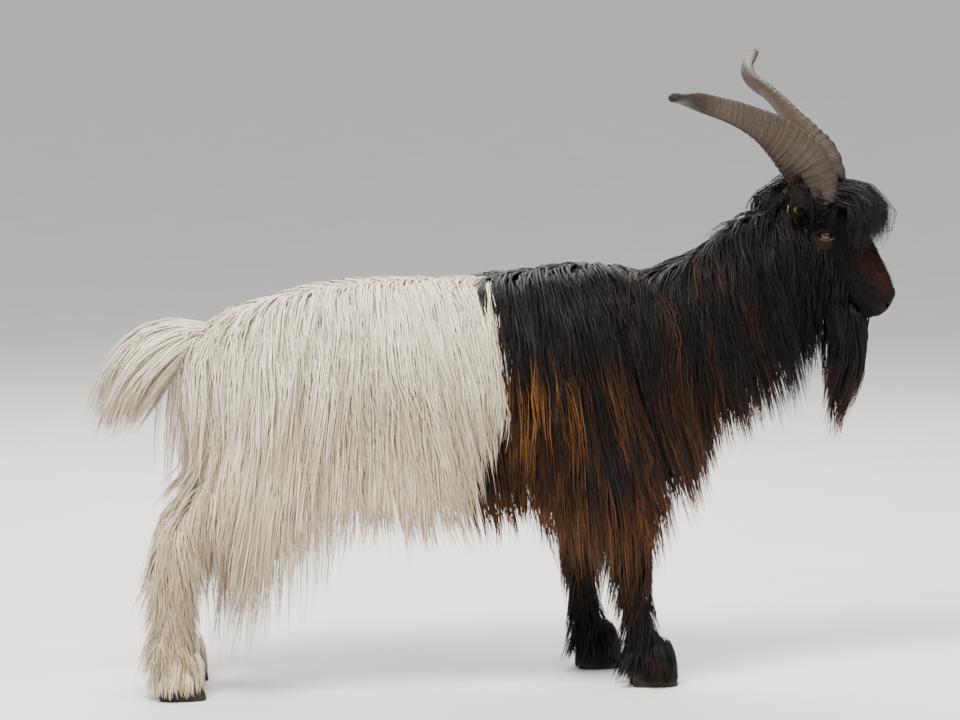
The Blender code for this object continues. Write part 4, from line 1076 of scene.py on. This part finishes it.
def ear_guide(chance, sign):
    """A short hair that lies along an ear towards its tip and stands off its edges."""
    t, fringe = chance.uniform(0.03, 0.97), chance.random() < 0.40
    c = chance.choice((-1, 1)) * chance.uniform(0.88, 1.0) if fringe else chance.uniform(-0.95, 0.95)
    length = (0.015 if fringe else 0.013) * chance.uniform(0.7, 1.25)
    inside = -1 if chance.random() < 0.30 else 1
    points, outs, steps = [], [], TUFTS["ear"].steps
    for share in (i / steps for i in range(steps + 1)):
        here = t + share * length / EAR_LENGTH
        edge, out = ear_place(sign, min(here, 0.985), c)
        out = out * inside
        at = edge + mirrored(EAR_WAY, sign).normalized() * EAR_LENGTH * max(0.0, here - 0.985)
        at += out * (0.0010 + (0.0045 if inside > 0 else 0.0030) * share ** 1.3)
        if fringe:
            beside = ear_place(sign, min(here, 0.985), c * 0.9)[0]
            at += (edge - beside).normalized() * (0.007 * share)
        points.append(HEAD @ at)
        outs.append((HEAD_AXES @ out).normalized())
    return points, outs


def lash_guide(chance, sign):
    """A lash of the upper lid, which curves out and up."""
    turn = eye_frame(sign)
    along, up = lid_line(math.radians(chance.uniform(18, 162)), 0.0012)
    out = math.sqrt(max((LID_RADIUS + 0.0006) ** 2 - along ** 2 - up ** 2, 0.00003))
    length, sway = chance.uniform(0.006, 0.010), along * 0.35 + chance.uniform(-0.001, 0.001)
    points, steps = [], TUFTS["lash"].steps
    for share in (i / steps for i in range(steps + 1)):
        rise, reach = length * 0.55 * share ** 1.8, length * 0.8 * share
        points.append(HEAD @ (turn @ Vector((along + sway * share, up + rise, out + reach - 0.001))))
    way = (HEAD_AXES @ eye_way(sign)).normalized()
    return points, [way for _ in points]


# Longest hair of a foot, and how far it spreads
FEET = {"fore_foot": (0.095, 0.034), "hind_foot": (0.082, 0.024)}


def foot_guide(chance, kind, foot):
    """Hair that falls from the pastern over the hoof and spreads towards the ground."""
    longest, flare = FEET[kind]
    turn = chance.uniform(0, 2 * math.pi) if chance.random() < 0.5 else chance.uniform(-1.45, 1.45)
    way = Vector((math.cos(turn), math.sin(turn), 0))
    root = Vector(foot) + Vector((way.x * 0.036, way.y * 0.031, chance.uniform(0.000, 0.045)))
    reach = min(longest * chance.uniform(0.75, 1.15), root.z * 1.3)
    out = flare * chance.uniform(0.6, 1.2) * (0.62 - 0.38 * way.x)
    rows = []
    for share in (0.0, 0.35, 0.7, 1.0):
        row = root + way * ((0.008 + out * share ** 0.8) * min(1.0, share * 4))
        row.z = max(root.z - reach * share, 0.005 + 0.006 * chance.random())
        rows.append(row)
    points = through(kind, rows)
    return points, [(way + Z_AXIS * 0.4).normalized() for _ in points]


def tuft_guides(kind):
    """Guides of the tufts of one kind."""
    chance = random.Random(TUFTS[kind].seed)
    if kind in ("ear", "lash"):
        draw = ear_guide if kind == "ear" else lash_guide
        places = [(sign, (sign,)) for _, sign in SIDES]
    elif kind in FEET:
        draw = foot_guide
        legs = [leg for name, leg in LEGS.items() if name[:4] == kind[:4]]
        places = [(leg[1], (kind, leg_axis(*leg)[-1][:3])) for leg in legs]
    else:
        draw = {"forelock": forelock_guide, "beard": beard_guide, "fan": fan_guide,
                "throat": throat_guide}[kind]
        places = [(1, ())]
    made = []
    for side, values in places:
        for _ in range(TUFTS[kind].guides):
            points, outs = draw(chance, *values)
            made.append(Guide(kind, kind in ("fan", "hind_foot"), side, points, outs, points[0]))
    return made


MOST_TRIANGLES = 195000     # most triangles in one piece of coat; in one piece of coat, which keeps it under the export's limit


def coat_pieces(guides):
    """The coat as pieces by kind, colour and side."""
    groups = {}
    for entry in guides:
        one_piece = entry.kind in TUFTS or entry.kind in ("tail", "face", "poll")
        word = "" if one_piece else "_right" if entry.side < 0 else "_left"
        groups.setdefault((entry.kind, entry.pale, word), []).append(entry)
    made = []
    for number, group in enumerate(sorted(groups, key=str)):
        kind, pale, word = group
        entries = sorted(groups[group], key=lambda entry: entry.root.x)
        most = int(MOST_TRIANGLES / (look_of(kind).hairs * (6 * look_of(kind).steps + 2)))
        stem = "coat_" + kind + ("_white" if pale and kind == "torso" else "") + word
        slot = "white_coat" if pale else "black_coat"
        for part in range(0, len(entries), most):
            name = stem + ("_%d" % (part // most + 1) if len(entries) > most else "")
            some, seed = entries[part:part + most], 100 + number * 7 + part
            made.append((hair_mesh(name, slot, kind, some, seed), slot))
    return made


# Materials

class Nodes:
    """Short ways to wire a material."""

    def __init__(self, name, roughness, specular=0.5):
        self.material = bpy.data.materials.new(name)
        self.material.use_nodes = True
        self.tree = self.material.node_tree
        self.shader = self.tree.nodes["Principled BSDF"]
        self.give(self.shader, {"Roughness": roughness, "Specular IOR Level": specular})

    def give(self, node, inputs):
        """Sets inputs of a node, or joins them where the value is another node's output."""
        for key, value in inputs.items():
            if hasattr(value, "links"):
                self.tree.links.new(value, node.inputs[key])
            else:
                four = isinstance(key, int) and isinstance(value, tuple)
                node.inputs[key].default_value = (*value, 1) if four else value

    def add(self, kind, inputs=None, **values):
        node = self.tree.nodes.new(kind)
        for key, value in values.items():
            setattr(node, key, value)
        self.give(node, inputs or {})
        return node

    def uv(self, name):
        return self.add("ShaderNodeUVMap", uv_map=name).outputs["UV"]

    def noise(self, scale, detail, stretch=None, place=None):
        place = place or self.add("ShaderNodeTexCoord").outputs["Object"]
        if stretch:
            place = self.add("ShaderNodeMapping", {"Vector": place, "Scale": stretch}).outputs["Vector"]
        inputs = {"Scale": scale, "Detail": detail, "Vector": place}
        return self.add("ShaderNodeTexNoise", inputs).outputs["Fac"]

    def ramp(self, value, *stops):
        """A value turned into a colour. A stop is its place and a colour, or one number for a grey."""
        node = self.add("ShaderNodeValToRGB", {"Fac": value})
        while len(node.color_ramp.elements) < len(stops):
            node.color_ramp.elements.new(0.5)
        for element, (at, colour) in zip(node.color_ramp.elements, stops):
            element.position = at
            element.color = (*(colour if isinstance(colour, tuple) else (colour,) * 3), 1)
        return node.outputs["Color"]

    def mix(self, share, first, second, kind="MIX"):
        inputs = {0: share, 6: first, 7: second}
        return self.add("ShaderNodeMix", inputs, data_type="RGBA", blend_type=kind).outputs[2]

    def times(self, first, second):
        return self.mix(1.0, first, second, "MULTIPLY")

    def math(self, operation, *values):
        return self.add("ShaderNodeMath", dict(enumerate(values)), operation=operation).outputs[0]

    def finish(self, colour, height=None, distance=0.0):
        """Joins the colour and a bump, and gives the material back."""
        self.give(self.shader, {"Base Color": colour})
        if height:
            bump = self.add("ShaderNodeBump", {"Distance": distance, "Strength": 1.0, "Height": height})
            self.give(self.shader, {"Normal": bump.outputs["Normal"]})
        return self.material


def hair_marks(made):
    return made.add("ShaderNodeAttribute", attribute_name="hair").outputs["Color"]


def hair_material(name, roughness, specular, dark=0.60):
    """Locks of fine hair, with streaks along each in its own map: u across it, v along it in metres. The dark
    streaks are painted shade between the hairs of a lock.
    """
    made = Nodes(name, roughness, specular)
    light = made.ramp(made.noise(90.0, 3.0), (0.25, dark + 0.12), (0.75, 1.0))
    streaks = made.noise(1.0, 3.0, (6.0, 9.0, 1.0), made.uv("strand"))
    # Painted shade in the gaps between the hairs of a lock, beside lighter hairs; the same streaks make the
    # bump.
    shade = (dark, dark * 0.97, dark * 0.92)
    fine = made.ramp(streaks, (0.32, shade), (0.50, 1.0), (0.70, (1.22, 1.21, 1.18)))
    return made.finish(made.times(made.times(hair_marks(made), light), fine), streaks, 0.0008)


def skin_material():
    """Short flat hair: fine streaks that run down it."""
    made = Nodes("skin_with_short_hair", 0.75, 0.05)
    fine, hairs = made.noise(900.0, 2.0), made.noise(620.0, 3.0, (1.0, 1.0, 0.10))
    streaks = made.ramp(hairs, (0.30, 0.45), (0.52, 0.90), (0.72, 1.3))
    height = made.math("ADD", hairs, made.math("MULTIPLY", fine, 0.3))
    return made.finish(made.times(hair_marks(made), streaks), height, 0.0010)


def speckled(name, roughness, specular, noise, dark, light, distance=0.0):
    """A plain material that varies between two colours, with a fine bump of the same pattern if asked."""
    made = Nodes(name, roughness, specular)
    grain = made.noise(*noise)
    return made.finish(made.ramp(grain, (0.3, dark), (0.7, light)), grain if distance else None, distance)


def ear_material():
    return speckled("ear_skin", 0.7, 0.2, (700.0, 2.0), (0.005, 0.0045, 0.0045), (0.013, 0.011, 0.010),
                    0.0006)


def hoof_material():
    return speckled("hoof_horn", 0.5, 0.25, (60.0, 5.0, (1.0, 1.0, 6.0)), (0.007, 0.0055, 0.005),
                    (0.024, 0.018, 0.014), 0.0008)


# Painted shade: the yellow plastic is darkened to the dull tone it shows in shade.
def tag_material():
    return speckled("tag_plastic", 0.35, 0.5, (180.0, 3.0), (0.085, 0.058, 0.010), (0.125, 0.085, 0.014))


def floor_material():
    return speckled("pale_floor", 0.9, 0.5, (3.0, 2.0), (0.70, 0.69, 0.67), (0.73, 0.72, 0.70))


def horn_material():
    """Grey-brown horn: rings across it, darker in their furrows and lighter on their ridges as painted shade
    and highlight over the rings' own tone, tan on the inner face, which is 1 in the map, a near black tip.
    """
    made = Nodes("ringed_horn", 0.55, 0.28)
    place = made.uv("along")
    along, inward, _ = made.add("ShaderNodeSeparateXYZ", {0: place}).outputs
    rings = made.noise(1.0, 5.0, (85.0, 2.5, 1.0), place)
    grain = made.noise(1.0, 4.0, (9.0, 34.0, 1.0), place)
    cloud, fine, tip = made.noise(24.0, 5.0), made.noise(420.0, 3.0), (0.985, (0.006, 0.005, 0.005))
    outer = made.ramp(along, (0.0, (0.026, 0.020, 0.016)), (0.30, (0.038, 0.026, 0.017)),
                      (0.70, (0.045, 0.030, 0.019)), (0.955, (0.030, 0.021, 0.015)), tip)
    inner = made.ramp(along, (0.0, (0.032, 0.023, 0.016)), (0.35, (0.056, 0.036, 0.020)),
                      (0.60, (0.042, 0.028, 0.018)), (0.955, (0.028, 0.020, 0.015)), tip)
    uneven = made.math("MULTIPLY", made.math("SUBTRACT", cloud, 0.5), 0.5)
    face = made.ramp(made.math("ADD", inward, uneven), (0.45, 0.0), (0.70, 1.0))
    base = made.mix(face, outer, inner)
    # The same noise raises the rings' bump: its low furrows get painted shade and its ridges a painted
    # highlight, over the tone of the rings.
    ring_tone_and_shade = made.ramp(rings, (0.28, (0.50, 0.46, 0.43)), (0.50, 0.95), (0.72, (1.35, 1.30, 1.22)))
    streaks = made.ramp(grain, (0.30, (0.62, 0.58, 0.55)), (0.55, 1.0), (0.75, (1.30, 1.28, 1.25)))
    tinted = made.mix(0.75, base, made.times(base, ring_tone_and_shade))
    tinted = made.mix(0.8, tinted, made.times(tinted, streaks))
    grey = made.mix(made.math("MULTIPLY", cloud, 0.35), tinted, (0.036, 0.028, 0.022))
    small = made.math("ADD", made.math("MULTIPLY", grain, 0.45), made.math("MULTIPLY", fine, 0.25))
    return made.finish(grey, made.math("ADD", rings, small), 0.0034)


def eye_material():
    """Amber iris with a level slit, drawn in the eye's own frame, where Z is the way that it looks."""
    made = Nodes("goat_eye", 0.06, 0.3)
    made.give(made.shader, {"Coat Weight": 0.25, "Coat Roughness": 0.03})
    x, y, _ = made.add("ShaderNodeSeparateXYZ", {0: made.add("ShaderNodeTexCoord").outputs["Object"]}).outputs
    away = made.math("SQRT", made.math("ADD", made.math("MULTIPLY", x, x), made.math("MULTIPLY", y, y)))
    iris = made.mix(made.noise(420.0, 4.0), (0.026, 0.014, 0.005), (0.100, 0.054, 0.019))
    ring = made.ramp(made.math("DIVIDE", away, 0.0108), (0.0, 1.0), (0.72, 1.0), (0.92, (0.10, 0.07, 0.05)),
                     (1.0, (0.03, 0.02, 0.015)))
    wide = made.math("POWER", made.math("ABSOLUTE", made.math("DIVIDE", x, 0.0068)), 4.0)
    height = made.math("DIVIDE", made.math("SUBTRACT", y, 0.0012), 0.0030)
    tall = made.math("POWER", made.math("ABSOLUTE", height), 2.0)
    slit = made.ramp(made.math("ADD", wide, tall), (0.0, 0.0), (0.85, 0.0), (1.0, 1.0))
    return made.finish(made.times(made.times(iris, ring), slit))


# Building

low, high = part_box("eye_right")
SHIFT = Matrix.Translation((Vector(low) + Vector(high)) / 2 - HEAD @ eye_middle(-1))
PARTS = ("torso", "neck", "head", "beard", "tail", "fore_leg", "hind_leg")      # replaced by the skin


def give_material(thing, material):
    thing.data.materials.clear()
    thing.data.materials.append(material)


def settle(piece, material, slot, *nodes):
    """Moves a finished piece from the design frame to the row frame, gives it its material, hangs it on the
    root body and hides the parts that it replaces.
    """
    if piece.matrix_world == Matrix():
        piece.data.transform(SHIFT)
    else:
        piece.matrix_world = SHIFT @ piece.matrix_world
    give_material(piece, material)
    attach(piece, "root")
    if nodes:
        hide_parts(*nodes)


def body_skin():
    legs = [leg_shape(*leg) for leg in LEGS.values()]
    body = melted("goat_skin", [torso_shape(), neck_shape(), tail_shape(), *legs], 0.0065, 6)
    boolean(body, head_shape(), "UNION")
    return smooth_shaded(body, 50)


def eye_piece(word, sign):
    """An eyeball with a raised cornea, in its own frame."""
    made = ball("eyeball_" + word, Vector(), (EYE_RADIUS,) * 3, Matrix(), 40, 28)
    for vertex in made.data.vertices:
        across = math.hypot(vertex.co.x, vertex.co.y)
        if vertex.co.z > 0 and across < 0.0085:
            vertex.co.z += 0.0010 * (1 - (across / 0.0085) ** 2)
    way = (HEAD_AXES @ eye_way(sign)).normalized()
    made.matrix_world = Matrix.Translation(HEAD @ eye_middle(sign)) @ axes_of(Z_AXIS, way)
    return smooth_shaded(made)


def build_coat():
    """The skin and the hair on it."""
    black, white = hair_material("black_hair", 0.42, 0.15), hair_material("white_hair", 0.5, 0.3, 0.76)
    short = hair_material("short_black_hair", 0.60, 0.05)
    skin = body_skin()
    tree = BVHTree.FromObject(skin, bpy.context.evaluated_depsgraph_get())
    guides = body_guides(tree, skin.data) + [made for kind in TUFTS for made in tuft_guides(kind)]
    pieces = coat_pieces(guides)
    set_colours(skin.data, skin_colours(skin.data))
    settle(skin, skin_material(), "black_coat", *(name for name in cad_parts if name.startswith(PARTS)))
    for piece, slot in pieces:
        small = piece.name.startswith(tuple("coat_" + kind for kind in FINE))
        settle(piece, short if small else white if slot == "white_coat" else black, slot)


def build_bare_parts():
    """Horns, ears, eyes, hooves and the tag."""
    horn, hoof, ear, eye = horn_material(), hoof_material(), ear_material(), eye_material()
    for word, sign in SIDES:
        settle(horn_shape(word, sign), horn, "horn", "horn_" + word)
        settle(ear_shape(word, sign), ear, "black_coat", "ear_" + word)
        settle(eye_piece(word, sign), eye, "eye", "eye_" + word)
    for name, leg in LEGS.items():
        for word, out in SIDES:
            node = name.replace("leg", "claw") + ("_outer" if name.endswith(word) else "_inner")
            settle(hoof_shape(node + "_horn", leg_axis(*leg)[-1], out), hoof, "hoof", node)
    give_material(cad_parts["ear_tag"], tag_material())


# Camera, floor and light. The camera stands where the photograph was taken from.

HORIZON, ZENITH = (0.56, 0.56, 0.56), (0.80, 0.82, 0.86)
LAMPS = (("key", (-1.6, -2.8, 4.8), 2.2, 780), ("fill", (3.6, -3.4, 2.4), 3.0, 120),
         ("back", (0.3, 3.4, 4.0), 3.0, 380))
SENSOR, FOCAL_PIXELS, FRAME_PIXELS = 36.0, 4360.0, 960.0


def looking(thing, way):
    thing.rotation_euler = way.to_track_quat("-Z", "Y").to_euler()


def place_camera():
    azimuth, elevation, distance = math.radians(-10), math.radians(5.5), 8.5
    level = math.cos(elevation)
    back = Vector((math.sin(azimuth) * level, -math.cos(azimuth) * level, math.sin(elevation)))
    lens = bpy.data.cameras.new("camera")
    lens.sensor_width = SENSOR
    lens.lens = FOCAL_PIXELS / FRAME_PIXELS * SENSOR
    camera = link("camera", lens)
    camera.location = SHIFT @ Vector((0, 0, 0.632)) + back * distance
    looking(camera, -back)
    bpy.context.scene.camera = camera


def place_lights():
    for name, place, size, power in LAMPS:
        light = bpy.data.lights.new(name, "AREA")
        light.size = size
        light.energy = power
        light.color = (1.0, 0.97, 0.92)
        lamp = link(name, light)
        lamp.location = place
        looking(lamp, Vector((0, 0, 0.6)) - Vector(place))


def light_world():
    """A sky that brightens from the horizon to the zenith."""
    world = bpy.data.worlds.new("studio")
    world.use_nodes = True
    nodes, links = world.node_tree.nodes, world.node_tree.links
    parts, sky = nodes.new("ShaderNodeSeparateXYZ"), nodes.new("ShaderNodeValToRGB")
    links.new(nodes.new("ShaderNodeTexCoord").outputs["Generated"], parts.inputs[0])
    first, last = sky.color_ramp.elements
    first.color, last.color = (*HORIZON, 1), (*ZENITH, 1)
    last.position = 0.7
    links.new(parts.outputs[2], sky.inputs["Fac"])
    links.new(sky.outputs["Color"], nodes["Background"].inputs["Color"])
    bpy.context.scene.world = world


def stage():
    place_camera()
    floor = mesh_of("floor", [(-30, -30, 0), (30, -30, 0), (30, 30, 0), (-30, 30, 0)], [(0, 1, 2, 3)])
    floor.data.materials.append(floor_material())
    place_lights()
    light_world()


build_coat()
build_bare_parts()
stage()
